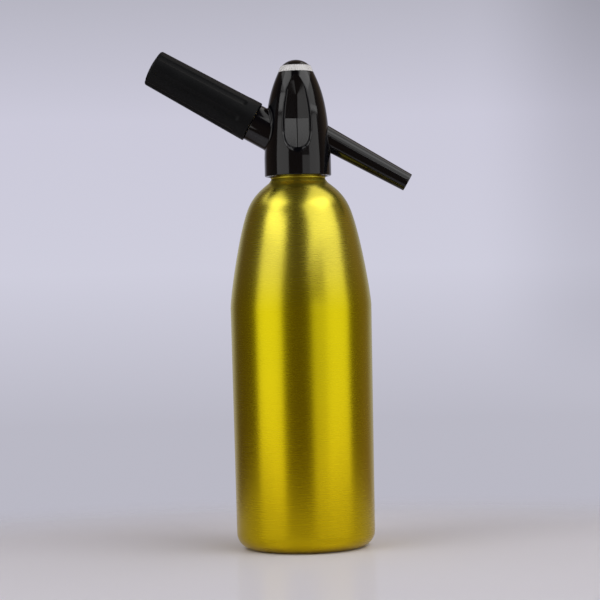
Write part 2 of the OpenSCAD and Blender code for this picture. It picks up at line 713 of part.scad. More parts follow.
// A helix of round wire, as one unbroken tube
module helix(r, w, low, high, turns) {
    n = wire_sides;
    rings = turn_steps * turns;
    points = [for (i = [0:rings])
        each wire_ring(r, 360 * i / turn_steps, low + (high - low) * i / rings, w)];
    sides = [for (i = [0:rings - 1], k = [0:n - 1]) let (a = n * i + k, b = n * i + (k + 1) % n)
        each [[a, b, a + n], [b, b + n, a + n]]];
    ends = [for (k = [1:n - 2]) each [[0, k + 1, k], [n * rings, n * rings + k, n * rings + k + 1]]];
    polyhedron(points, concat(sides, ends));
}

// The spring that lifts the button
module button_spring() {
    low = gland_top_z + wire_r + eps;
    high = roof_z - wire_r - eps;
    echo(least_gap_of_the_spring_to_itself = (high - low) / spring_turns - 2 * wire_r);
    color([0.7, 0.7, 0.72]) helix(spring_r, wire_r, low, high, spring_turns);
}

// The rod that the button pushes down, with a flange under the valve washer
module valve_stem() {
    color([0.72, 0.73, 0.75]) turned([[0, stem_foot_z], [stem_flange_r, stem_foot_z],
        [stem_flange_r, stem_foot_z + stem_flange_t], [stem_r, stem_foot_z + stem_flange_t],
        [stem_r, stem_top_z - edge], [stem_r - edge, stem_top_z], [0, stem_top_z]]);
}

// The rubber washer that closes the valve seat
module valve_washer() {
    color([0.1, 0.1, 0.1]) translate([0, 0, seat_z - washer_t]) difference() {
        cylinder(r = washer_r, h = washer_t);
        translate([0, 0, -past]) cylinder(r = stem_r + fixed_fit, h = washer_t + 2 * past);
    }
}

// The rubber ring that keeps water away from the button
module stem_oring() {
    color([0.1, 0.1, 0.1]) rubber_ring(stem_ring_r, stem_ring_t, gland_floor_z + stem_ring_t / 2);
}

// The nut that holds that ring and guides the stem
module gland_nut() {
    foot_z = gland_floor_z + stem_ring_t + rubber_gap;
    color([0.78, 0.64, 0.34]) difference() {
        union() {
            translate([0, 0, foot_z])
                cylinder(r = gland_bore_r - push_fit, h = cup_floor_z - foot_z + eps);
            translate([0, 0, cup_floor_z]) cylinder(r = gland_hex_r, h = gland_hex_h, $fn = 6);
        }
        translate([0, 0, foot_z - past])
            cylinder(r = stem_r + slide_fit, h = gland_top_z - foot_z + 2 * past);
    }
}

// The tube that reaches down to the bottle's bottom
module dip_tube() {
    low = bottom_z + dip_gap;
    bore_r = dip_r - dip_wall;
    color([0.9, 0.9, 0.88]) difference() {
        turned([[bore_r, low], [dip_r, low], [dip_r, dip_flange_z], [dip_flange_r, dip_flange_z],
            [dip_flange_r, dip_seat_z], [bore_r, dip_seat_z]]);
        translate([0, 0, low]) rotate([0, 45, 0]) cube([dip_r, reach, dip_r], center = true);
    }
}

// The nut that clamps the dip tube's flange into the block
module tube_nut() {
    color([0.78, 0.64, 0.34]) difference() {
        union() {
            translate([0, 0, tube_hex_z]) rotate([0, 0, 30])
                cylinder(r = tube_hex_r, h = tube_hex_h, $fn = 6);
            translate([0, 0, block_z - eps])
                cylinder(r = tube_socket_r - push_fit, h = dip_flange_z - block_z + eps);
        }
        translate([0, 0, tube_hex_z - past]) cylinder(r = dip_r + push_fit, h = reach / 2);
    }
}

// The rubber washer above the dip tube's flange
module tube_gasket() {
    color([0.1, 0.1, 0.1]) translate([0, 0, dip_seat_z]) difference() {
        cylinder(r = tube_socket_r - thread_gap, h = tube_gasket_t);
        translate([0, 0, -past]) cylinder(r = tube_gasket_bore_r, h = tube_gasket_t + 2 * past);
    }
}

// The pouring nozzle, a long cone with a spigot that plugs into the block
module nozzle() {
    bore_end = nozzle_end - nozzle_flare;
    groove_r = nozzle_spigot_r + push_fit - small_ring_t - 2 * fixed_fit;
    groove_end = nozzle_groove + small_ring_t + rubber_gap;
    color([0.05, 0.05, 0.06]) on_nozzle_axis() turned([
        [nozzle_bore_r, nozzle_start], [nozzle_spigot_r, nozzle_start],
        [nozzle_spigot_r, nozzle_groove], [groove_r, nozzle_groove],
        [groove_r, groove_end], [nozzle_spigot_r, groove_end],
        [nozzle_spigot_r, nozzle_shoulder], [nozzle_root_r, nozzle_shoulder],
        [nozzle_tip_r, nozzle_end - edge], [nozzle_tip_r - edge, nozzle_end], [nozzle_mouth_r, nozzle_end],
        [nozzle_bore_r, bore_end]]);
}

// The rubber ring on the nozzle's spigot
module nozzle_oring() {
    color([0.1, 0.1, 0.1]) on_nozzle_axis() rubber_ring(
        nozzle_spigot_r + push_fit - small_ring_t / 2 - fixed_fit, small_ring_t,
        nozzle_groove + (small_ring_t + rubber_gap) / 2);
}

// The metal spigot that the charger holder screws onto
module charger_spigot() {
    groove_r = tail_r + push_fit - small_ring_t - 2 * fixed_fit;
    groove_end = tail_groove + small_ring_t + rubber_gap;
    seat_r = charger_neck_r + neck_play;
    outside = concat([[tail_r - edge, tail_end], [tail_r, tail_end + edge], [tail_r, tail_groove],
        [groove_r, tail_groove], [groove_r, groove_end], [tail_r, groove_end], [tail_r, spigot_body_start],
        [spigot_body_r, spigot_body_start], [spigot_body_r, flange_start],
        [spigot_flange_r, flange_start], [spigot_flange_r, boss_end], [spigot_r, boss_end]],
        teeth(spigot_r, spigot_tooth_h, boss_end + thread_runout, spigot_end - thread_lead, spigot_pitch),
        [[spigot_r, spigot_end]]);
    inside = [[spigot_mouth_r, spigot_end], [seat_r, charger_start + neck_seat], [seat_r, gasket_start],
        [pin_plug_r + fixed_fit, gasket_start], [pin_plug_r + fixed_fit, pin_start],
        [check_bore_r, pin_start], [check_bore_r, check_start], [gas_bore_r, check_start],
        [gas_bore_r, tail_end]];
    color([0.8, 0.66, 0.36]) on_holder_axis() turned(concat(outside, inside));
}

// The rubber ring on the spigot's tail
module spigot_oring() {
    color([0.1, 0.1, 0.1]) on_holder_axis() rubber_ring(
        tail_r + push_fit - small_ring_t / 2 - fixed_fit, small_ring_t,
        tail_groove + (small_ring_t + rubber_gap) / 2);
}

// The rubber valve that lets gas in and not out
module check_valve() {
    flange_r = check_bore_r - push_fit;
    back = pin_start - rubber_gap;
    front = back - check_flange_t;
    lips = check_start + check_room;
    color([0.55, 0.2, 0.15]) on_holder_axis() turned([[check_hollow_r, back], [flange_r, back],
        [flange_r, front], [check_body_r, front], [check_lip_r, lips], [check_slit_r, lips],
        [check_hollow_r, front]]);
}

// The hollow pin that pierces the charger, on its plug
module piercing_pin() {
    plug_end = pin_start + pin_plug_len;
    tip = charger_start + pin_reach;
    color([0.7, 0.71, 0.73]) on_holder_axis() turned([[pin_bore_r, pin_start], [pin_plug_r, pin_start],
        [pin_plug_r, plug_end], [pin_r, plug_end], [pin_r, tip - pin_tip_len],
        [pin_bore_r + rubber_gap, tip], [pin_bore_r, tip]]);
}

// The rubber washer that the charger is pressed against
module charger_gasket() {
    color([0.1, 0.1, 0.1]) on_holder_axis() translate([0, 0, gasket_start]) difference() {
        cylinder(r = charger_neck_r + neck_play - push_fit, h = charger_gasket_t);
        translate([0, 0, -past]) cylinder(r = pin_r + neck_play, h = charger_gasket_t + 2 * past);
    }
}

// The gas charger, a hollow steel bulb with a pierced neck
module gas_charger() {
    shoulder_start = charger_start + charger_neck_len;
    body_start = shoulder_start + charger_shoulder;
    cap_start = charger_end - charger_cap;
    neck_in = charger_neck_r - charger_wall;
    body_in = charger_r - charger_wall;
    half = charger_shoulder / 2;
    neck_curve = curve([charger_neck_r, shoulder_start], [charger_neck_r, shoulder_start + half],
        [charger_r, body_start - half], [charger_r, body_start], few_steps);
    cap_in = charger_cap - charger_wall;
    cap = [for (a = [0:10:90]) [charger_r * cos(a), cap_start + charger_cap * sin(a)]];
    hollow_cap = [for (a = [90:-10:0]) [body_in * cos(a), cap_start + cap_in * sin(a)]];
    hollow_neck = curve([body_in, body_start], [body_in, body_start - half],
        [neck_in, shoulder_start + half], [neck_in, shoulder_start], few_steps);
    color([0.78, 0.79, 0.8]) on_holder_axis() turned(concat([[pierce_r, charger_start],
        [charger_neck_r - edge, charger_start], [charger_neck_r, charger_start + edge]], neck_curve, cap,
        hollow_cap, hollow_neck,
        [[neck_in, charger_start + charger_wall], [pierce_r, charger_start + charger_wall]]));
}

// The pad between the charger's round end and the holder's end wall
module charger_pad() {
    color([0.15, 0.15, 0.16]) on_holder_axis() translate([0, 0, pad_start])
        cylinder(r = holder_bore_r - charger_play, h = pad_t);
}

// The long grip that holds the charger and screws it onto the spigot
module charger_holder() {
    corner_z = holder_end - holder_dome - holder_corner;
    dome_edge_r = holder_end_r - holder_corner;
    dome = [for (i = [few_steps - 1:-1:0])
        [dome_edge_r * i / few_steps, holder_end - holder_dome * pow(i / few_steps, 2)]];
    outside = concat([[holder_r - holder_rim_round, holder_start],
        [holder_r, holder_start + holder_rim_round]],
        corner([dome_edge_r, corner_z], holder_corner, 0, 90 - atan(2 * holder_dome / dome_edge_r)), dome);
    thread_depth = holder_crest_r - holder_root_r;
    inside = concat([[0, pad_end], [holder_bore_r, pad_end], [holder_bore_r, spigot_end + 2 * thread_lead],
        [holder_root_r, spigot_end + thread_lead]],
        flipped(teeth(holder_root_r, thread_depth, holder_start + holder_mouth, spigot_end, spigot_pitch)),
        [[holder_root_r, holder_start]]);
    flute_run = sqrt(2 * flute_r * flute_depth - flute_depth * flute_depth);
    groove_start = holder_start + holder_band + flute_run;
    groove_depth_r = holder_r - tan(holder_taper) * (groove_start - holder_start) - flute_depth + flute_r;
    color([0.1, 0.11, 0.12]) on_holder_axis() difference() {
        turned(concat(outside, inside));
        for (i = [0:flutes - 1])
            rotate([0, 0, flute_phase + i * 360 / flutes])
                translate([groove_depth_r, 0, groove_start])
                    rotate([0, -holder_taper, 0]) {
                        cylinder(r = flute_r, h = holder_end - holder_start);
                        sphere(r = flute_r);
                    }
    }
}

bottle();
measuring_tube();
neck_gasket();
head_shell();
neck_insert();
valve_block();
ring_nut();
push_button();
button_spring();
valve_stem();
valve_washer();
stem_oring();
gland_nut();
dip_tube();
tube_nut();
tube_gasket();
nozzle();
nozzle_oring();
charger_spigot();
spigot_oring();
check_valve();
piercing_pin();
charger_gasket();
gas_charger();
charger_pad();
charger_holder();
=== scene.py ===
"""A soda siphon, dressed for its photograph.

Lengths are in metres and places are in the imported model's frame: +Z is up, the origin lies under the
middle of the bottle's foot, and the two arms lie along X. The front, where the camera stands, is -Y.
"""
import json
import logging
import math
from dataclasses import dataclass
from enum import Enum
from typing import Any, Callable, Optional, Union

import bmesh
import bpy
import numpy as np
from mathutils import Euler, Matrix, Vector


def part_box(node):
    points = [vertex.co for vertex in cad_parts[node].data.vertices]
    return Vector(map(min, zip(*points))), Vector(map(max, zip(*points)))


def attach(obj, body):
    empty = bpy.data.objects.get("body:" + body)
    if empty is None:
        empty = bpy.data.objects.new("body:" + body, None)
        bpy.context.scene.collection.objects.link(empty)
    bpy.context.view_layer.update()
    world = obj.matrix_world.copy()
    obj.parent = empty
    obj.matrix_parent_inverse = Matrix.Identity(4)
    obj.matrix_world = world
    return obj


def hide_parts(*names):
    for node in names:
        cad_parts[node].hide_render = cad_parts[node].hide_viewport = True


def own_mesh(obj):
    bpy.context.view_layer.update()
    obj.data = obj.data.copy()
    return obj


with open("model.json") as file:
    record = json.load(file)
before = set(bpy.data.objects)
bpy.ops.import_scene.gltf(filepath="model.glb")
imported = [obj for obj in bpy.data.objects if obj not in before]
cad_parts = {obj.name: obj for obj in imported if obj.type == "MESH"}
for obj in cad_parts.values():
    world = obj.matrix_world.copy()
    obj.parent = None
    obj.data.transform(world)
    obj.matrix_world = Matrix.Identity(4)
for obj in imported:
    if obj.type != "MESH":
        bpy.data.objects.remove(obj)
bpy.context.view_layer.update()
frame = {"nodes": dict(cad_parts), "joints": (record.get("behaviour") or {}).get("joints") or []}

FULL_TURN = 2 * math.pi
Point = tuple[float, float]
Span = tuple[float, float]
Outline = list[Point]
Colour = tuple[float, float, float]
Sockets = dict[Union[str, int], Any]
RadiusLaw = Callable[[np.ndarray], np.ndarray]
log = logging.getLogger("siphon")


# Outlines


def bend(start: Point, guide: Point, guide_end: Point, end: Point, steps: int = 48) -> Outline:
    """Points of a curve with two guide points.

    Args:
        start: Where the curve starts.
        guide: The point that it leaves towards.
        guide_end: The point that it arrives from.
        end: Where the curve ends.
        steps: How many steps it is drawn in.

    Returns:
        The points, both ends included.
    """
    a, b, c, d = (np.array(p, float) for p in (start, guide, guide_end, end))
    t = np.linspace(0, 1, steps + 1)[:, None]
    points = (1 - t) ** 3 * a + 3 * (1 - t) ** 2 * t * b + 3 * (1 - t) * t**2 * c + t**3 * d
    return [tuple(p) for p in points]


def corner(centre: Point, radius: float, first: float, last: float, steps: int = 8) -> Outline:
    """Points of a round corner.

    Args:
        centre: The middle of the rounding.
        radius: Its radius.
        first: The angle that it starts at, in degrees.
        last: The angle that it ends at, in degrees.
        steps: How many steps it is drawn in.

    Returns:
        The points, both ends included.
    """
    angles = np.radians(np.linspace(first, last, steps + 1))
    return [(centre[0] + radius * math.cos(a), centre[1] + radius * math.sin(a)) for a in angles]


def fill(points: Outline, step: float) -> Outline:
    """The same outline with its long straight runs cut into shorter ones.

    Args:
        points: The outline.
        step: The longest run that is left.

    Returns:
        The outline with more points.
    """
    made: Outline = []
    for (r0, z0), (r1, z1) in zip(points, points[1:]):
        count = max(1, math.ceil(math.hypot(r1 - r0, z1 - z0) / step))
        made += [(r0 + (r1 - r0) * i / count, z0 + (z1 - z0) * i / count) for i in range(count)]
    return made + [points[-1]]


# Meshes


class Skin:
    """The surface of one piece, gathered from grids of points.

    Points closer together than WELD are made one.
    """

    WELD = 2e-7

    def __init__(self, name: str) -> None:
        """Starts an empty surface.

        Args:
            name: The name of the piece that it becomes.
        """
        self.name = name
        self.points: list[np.ndarray] = []
        self.faces: list[np.ndarray] = []
        self.count = 0

    def patch(self, grid: np.ndarray, across: bool = True, along: bool = True) -> None:
        """Adds a grid of four-sided faces.

        Args:
            grid: Points, rows by columns by three.
            across: Whether the last column joins the first.
            along: Whether the last row joins the first.
        """
        rows, columns = grid.shape[:2]
        index = self.count + np.arange(rows * columns).reshape(rows, columns)
        low = index if along else index[:-1]
        high = np.roll(index, -1, axis=0) if along else index[1:]
        if not across:
            corners = (low[:, :-1], low[:, 1:], high[:, 1:], high[:, :-1])
        else:
            corners = (low, np.roll(low, -1, axis=1), np.roll(high, -1, axis=1), high)
        self.faces.append(np.stack([c.ravel() for c in corners], axis=1))
        self.points.append(grid.reshape(-1, 3))
        self.count += rows * columns

    def turn(self, outline: Outline, columns: int = 192, place: Optional[Matrix] = None) -> None:
        """Adds a closed outline turned about an axis.

        Args:
            outline: Radius and height of each point.
            columns: How many columns go round.
            place: Where the axis lies, or None for the Z axis.
        """
        self.patch(placed(ring_grid(np.array(outline), columns), place))

    def build(self, sharp: float = 40.0) -> bpy.types.Object:
        """Makes the object.

        Args:
            sharp: Faces that meet at more than this angle, in degrees, keep a crisp edge.

        Returns:
            The new object, in the scene.
        """
        mesh = bpy.data.meshes.new(self.name)
        mesh.from_pydata(np.concatenate(self.points).tolist(), [], np.concatenate(self.faces).tolist())
        work = bmesh.new()
        work.from_mesh(mesh)
        bmesh.ops.remove_doubles(work, verts=work.verts, dist=self.WELD)
        bmesh.ops.dissolve_degenerate(work, edges=work.edges, dist=self.WELD)
        bmesh.ops.recalc_face_normals(work, faces=work.faces)
        work.to_mesh(mesh)
        work.free()
        mesh.shade_smooth()
        mesh.set_sharp_from_angle(angle=math.radians(sharp))
        made = bpy.data.objects.new(self.name, mesh)
        bpy.context.scene.collection.objects.link(made)
        return made


def ring_grid(outline: np.ndarray, columns: int) -> np.ndarray:
    """An outline turned about the Z axis.

    Args:
        outline: Radius and height of each point, or one such list for every column.
        columns: How many columns go round.

    Returns:
        Points, rows by columns by three.
    """
    angle = np.arange(columns) * FULL_TURN / columns
    radius, height = outline[..., 0], outline[..., 1]
    if radius.ndim == 1:
        radius, height = radius[:, None], height[:, None]
    shape = np.broadcast_shapes(radius.shape, (1, columns))
    return np.stack([radius * np.cos(angle), radius * np.sin(angle), np.broadcast_to(height, shape)], axis=-1)


def placed(grid: np.ndarray, place: Optional[Matrix]) -> np.ndarray:
    """A grid of points moved to where an axis lies.

    Args:
        grid: The points.
        place: Where the axis lies, or None for the Z axis.

    Returns:
        The moved points.
    """
    if place is None:
        return grid
    turn = np.array(place.to_3x3())
    return grid @ turn.T + np.array(place.translation)


# Shader arithmetic

Value = Union["Signal", float]


class Grain(Enum):
    """How a pattern lies on its piece: in fine rings round it, or even. Factors along X, Y and Z."""

    ROUND = (1.0, 1.0, 40.0)
    EVEN = (1.0, 1.0, 1.0)


class Signal:
    """A number that varies over a surface, on its way through the shader."""

    def __init__(self, graph: "Graph", socket: bpy.types.NodeSocket) -> None:
        """Wraps an output socket of a graph."""
        self.graph = graph
        self.socket = socket

    def __add__(self, other: Value) -> "Signal":
        """This plus another."""
        return self.graph.math("ADD", self, other)

    def __radd__(self, other: Value) -> "Signal":
        """Another plus this."""
        return self.graph.math("ADD", other, self)

    def __sub__(self, other: Value) -> "Signal":
        """This less another."""
        return self.graph.math("SUBTRACT", self, other)

    def __rsub__(self, other: Value) -> "Signal":
        """Another less this."""
        return self.graph.math("SUBTRACT", other, self)

    def __mul__(self, other: Value) -> "Signal":
        """This times another."""
        return self.graph.math("MULTIPLY", self, other)

    def __rmul__(self, other: Value) -> "Signal":
        """Another times this."""
        return self.graph.math("MULTIPLY", other, self)

    def eased(self, low: float, high: float) -> "Signal":
        """A smooth step from 0 at low to 1 at high.

        Args:
            low: The value that gives 0.
            high: The value that gives 1.

        Returns:
            The stepped signal.
        """
        step = self.graph.node(
            "ShaderNodeMapRange",
            {"interpolation_type": "SMOOTHSTEP"},
            {"Value": self, "From Min": low, "From Max": high},
        )
        return Signal(self.graph, step.outputs["Result"])


class Graph:
    """The node tree of one material or of the world."""

    def __init__(self, tree: bpy.types.NodeTree) -> None:
        """Empties the tree and writes into it."""
        self.tree = tree
        tree.nodes.clear()

    def node(self, kind: str, settings: dict[str, Any], sockets: Sockets) -> bpy.types.Node:
        """Adds one node.

        Args:
            kind: The node's type.
            settings: Its properties, set first; "stops" are a ramp's places and colours.
            sockets: A value, a Signal or an output socket for each named input.

        Returns:
            The node.
        """
        made = self.tree.nodes.new(kind)
        for name, value in settings.items():
            if name == "stops":
                ramp = made.color_ramp.elements
                while len(ramp) < len(value):
                    ramp.new(0.5)
                for stop, (place, colour) in zip(ramp, value):
                    stop.position, stop.color = place, (*colour, 1)
            else:
                setattr(made, name, value)
        for name, value in sockets.items():
            if isinstance(value, Signal):
                value = value.socket
            if isinstance(value, bpy.types.NodeSocket):
                self.tree.links.new(value, made.inputs[name])
            elif isinstance(value, tuple) and made.inputs[name].type == "RGBA":
                made.inputs[name].default_value = (*value, 1)
            else:
                made.inputs[name].default_value = value
        return made

    def math(self, operation: str, first: Value, second: Value) -> Signal:
        """One sum on two values.

        Args:
            operation: The Math node's operation.
            first: Its first value.
            second: Its second value.

        Returns:
            The result.
        """
        made = self.node("ShaderNodeMath", {"operation": operation}, {0: first, 1: second})
        return Signal(self, made.outputs[0])

    def colours(self, share: Value, first: Any, second: Any) -> bpy.types.NodeSocket:
        """A mix of two colours.

        Args:
            share: How much of the second colour there is.
            first: The colour at 0.
            second: The colour at 1.

        Returns:
            The mixed colour's socket.
        """
        made = self.node("ShaderNodeMix", {"data_type": "RGBA"}, {0: share, 6: first, 7: second})
        return made.outputs[2]

    def place(self, grain: Grain = Grain.EVEN) -> bpy.types.NodeSocket:
        """The place on the piece, in the measure that a pattern is laid out in.

        Args:
            grain: How the pattern lies.

        Returns:
            The vector's socket.
        """
        where = self.node("ShaderNodeTexCoord", {}, {}).outputs["Object"]
        made = self.node("ShaderNodeVectorMath", {"operation": "MULTIPLY"}, {0: where, 1: grain.value})
        return made.outputs[0]

    def noise(self, scale: float, detail: float = 2.0, grain: Grain = Grain.EVEN) -> Signal:
        """Smooth random variation over the piece.

        Args:
            scale: How many features a metre holds.
            detail: How many finer layers it has.
            grain: How it lies.

        Returns:
            The variation, around one half.
        """
        sockets = {"Vector": self.place(grain), "Scale": scale, "Detail": detail}
        return Signal(self, self.node("ShaderNodeTexNoise", {}, sockets).outputs["Fac"])

    def bump(self, height: Signal, distance: float) -> bpy.types.NodeSocket:
        """The normal of a surface with a fine relief.

        Args:
            height: The relief, from 0 to 1.
            distance: Its depth in metres.

        Returns:
            The normal's socket.
        """
        sockets = {"Strength": 1.0, "Distance": distance, "Height": height}
        return self.node("ShaderNodeBump", {}, sockets).outputs["Normal"]

    def surface(self, sockets: Sockets) -> None:
        """Ends the material in a Principled shader with these inputs."""
        shader = self.node("ShaderNodeBsdfPrincipled", {}, sockets)
        self.node("ShaderNodeOutputMaterial", {}, {"Surface": shader.outputs[0]})


# Finishes


@dataclass(frozen=True)
class Finish:
    """What every finish has: a name and the record's material slot."""

    name: str
    slot: str

    def dress(self, graph: Graph) -> None:
        """Writes the finish into a material's graph."""
        raise NotImplementedError

    def material(self) -> bpy.types.Material:
        """The Blender material of this finish, made once.

        Returns:
            The material.
        """
        found = bpy.data.materials.get(self.name)
        if found is None:
            found = bpy.data.materials.new(self.name)
            found.use_nodes = True
            self.dress(Graph(found.node_tree))
        return found


@dataclass(frozen=True)
class Metal(Finish):
    """Bare or dyed metal with fine turning lines.

    A dyed metal may be painted paler from a given height up, a painted highlight for the stronger light
    on its upper part. It may also be duller from dull_from up, and browner below brown_top.
    The values that stand here leave it even.
    """

    colour: Colour
    rough: float
    relief: float = 4.0e-7
    coat: float = 0.0
    # Painted highlight: a paler colour on the upper part, where the light falls strongest.
    highlight_pale: Colour = (1.0, 1.0, 1.0)
    highlight_pale_from: float = 1.0
    highlight_pale_to: float = 2.0
    dull: float = 0.0
    dull_from: float = 1.0
    dull_run: float = 0.006
    browned: float = 0.0
    brown_top: float = 0.15

    def dress(self, graph: Graph) -> None:
        """Writes the finish into a material's graph.

        Args:
            graph: The material's graph.
        """
        lines = graph.noise(60, grain=Grain.ROUND)
        cloud = graph.noise(28)
        deep = tuple(0.95 * c for c in self.colour)
        brown = (self.colour[0], self.colour[1] * (1 - self.browned), self.colour[2])
        split = graph.node("ShaderNodeSeparateXYZ", {}, {0: graph.place()})
        height = Signal(graph, split.outputs["Z"])
        dyed = graph.colours(cloud.eased(0.3, 0.7) * 0.4 + lines * 0.4, self.colour, deep)
        dyed = graph.colours(height.eased(0.0, self.brown_top), brown, dyed)
        # Paler towards the top: a painted highlight for the stronger light on the shoulder.
        dyed = graph.colours(height.eased(self.highlight_pale_from, self.highlight_pale_to), dyed, self.highlight_pale)
        dulled = height.eased(self.dull_from, self.dull_from + self.dull_run) * self.dull
        graph.surface(
            {
                "Base Color": dyed,
                "Metallic": 1.0,
                "Roughness": lines * 0.03 + cloud * 0.02 + (self.rough - 0.025) + dulled,
                "Coat Weight": self.coat,
                "Coat Roughness": 0.25,
                "Normal": graph.bump(lines, self.relief),
            }
        )


@dataclass(frozen=True)
class Plastic(Finish):
    """Moulded plastic, from polished to grained.

    Its grain is in features a metre, and its dust is how much paler the cloudy places are.
    """

    colour: Colour
    rough: float
    grain: float = 900.0
    relief: float = 1.0e-6
    dust: float = 0.02
    index: float = 1.5

    def dress(self, graph: Graph) -> None:
        """Writes the finish into a material's graph.

        Args:
            graph: The material's graph.
        """
        skin = graph.noise(self.grain)
        cloud = graph.noise(70, 3.0)
        pale = tuple(c + self.dust for c in self.colour)
        graph.surface(
            {
                "Base Color": graph.colours(cloud.eased(0.45, 0.75) * 0.6, self.colour, pale),
                "Roughness": skin * 0.04 + cloud * 0.05 + (self.rough - 0.04),
                "IOR": self.index,
                "Normal": graph.bump(skin, self.relief),
            }
        )


@dataclass(frozen=True)
class Rubber(Finish):
    """Soft rubber with a powdery skin."""

    colour: Colour

    def dress(self, graph: Graph) -> None:
        """Writes the finish into a material's graph.

        Args:
            graph: The material's graph.
        """
        skin = graph.noise(1500)
        pale = tuple(c + 0.03 for c in self.colour)
        graph.surface(
            {
                "Base Color": graph.colours(skin.eased(0.4, 0.7), self.colour, pale),
                "Roughness": skin * 0.1 + 0.6,
                "Normal": graph.bump(skin, 4e-6),
            }
        )


# The gold is painted paler on its shoulder, a painted highlight for the stronger light there.
GOLD = Metal(
    "gold_anodised_satin", "gold_anodised", (0.62, 0.525, 0.0035), 0.27, relief=1.2e-8, coat=0.05,
    highlight_pale=(0.64, 0.553, 0.055), highlight_pale_from=0.148, highlight_pale_to=0.190,
    dull=0.11, dull_from=0.2285, browned=0.14,
)
BRASS = Metal("turned_brass", "brass", (0.78, 0.57, 0.26), 0.22)
STEEL = Metal("bright_steel", "steel", (0.62, 0.62, 0.64), 0.18)
CHARGER_STEEL = Metal("charger_steel_plate", "charger_steel", (0.60, 0.61, 0.63), 0.26)
GLOSS = Plastic("black_gloss_plastic", "black_gloss", (0.0022, 0.0022, 0.0036), 0.09, dust=0.001, index=1.44)
SATIN = Plastic(
    "black_satin_plastic", "black_satin", (0.004, 0.0045, 0.0055), 0.46,
    grain=2600.0, relief=6e-6, dust=0.003, index=1.22,
)
WHITE = Plastic("white_gloss_plastic", "white_gloss", (0.80, 0.80, 0.82), 0.22, dust=-0.03)
PALE = Plastic("white_plastic", "white_plastic", (0.74, 0.74, 0.71), 0.38, dust=-0.04)
BLACK_RUBBER = Rubber("black_rubber", "black_rubber", (0.012, 0.012, 0.013))
RED_RUBBER = Rubber("red_rubber", "red_rubber", (0.30, 0.045, 0.02))


def finish_piece(piece: bpy.types.Object, body: str, finish: Finish, *nodes: str) -> None:
    """Dresses a new piece, ties it to its body and lets it stand for its CAD nodes.

    Args:
        piece: The new piece.
        body: The body that it rides on.
        finish: Its finish.
        nodes: The CAD nodes that it stands for.
    """
    piece.data.materials.clear()
    piece.data.materials.append(finish.material())
    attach(piece, body)
    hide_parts(*nodes)
    log.info("%s rides on %s and stands for %s", piece.name, body, ", ".join(nodes))


def dress_node(node: str, finish: Finish) -> None:
    """Gives a CAD node that stays a new finish.

    Args:
        node: The node's name.
        finish: Its finish.
    """
    piece = frame["nodes"][node]
    piece.data.materials.clear()
    piece.data.materials.append(finish.material())
    log.info("%s keeps its CAD shape and gets %s", node, finish.name)


def joint(name: str) -> dict[str, Any]:
    """The frame's joint of that name."""
    return next(j for j in frame["joints"] if j["name"] == name)


def arm_axis(foot: tuple, lean: float) -> Matrix:
    """An arm's axis from its foot on the head's axis, that leans so many degrees from upright."""
    return Matrix.Translation(foot) @ Matrix.Rotation(math.radians(lean), 4, "Y")


ARM_LEAN = 60.0
NOZZLE_Z = 0.2722
HOLDER_AXIS = arm_axis(joint("holder_turn")["pos_m"], -ARM_LEAN)
NOZZLE_AXIS = arm_axis((0, 0, NOZZLE_Z), 180 - ARM_LEAN)


# The siphon


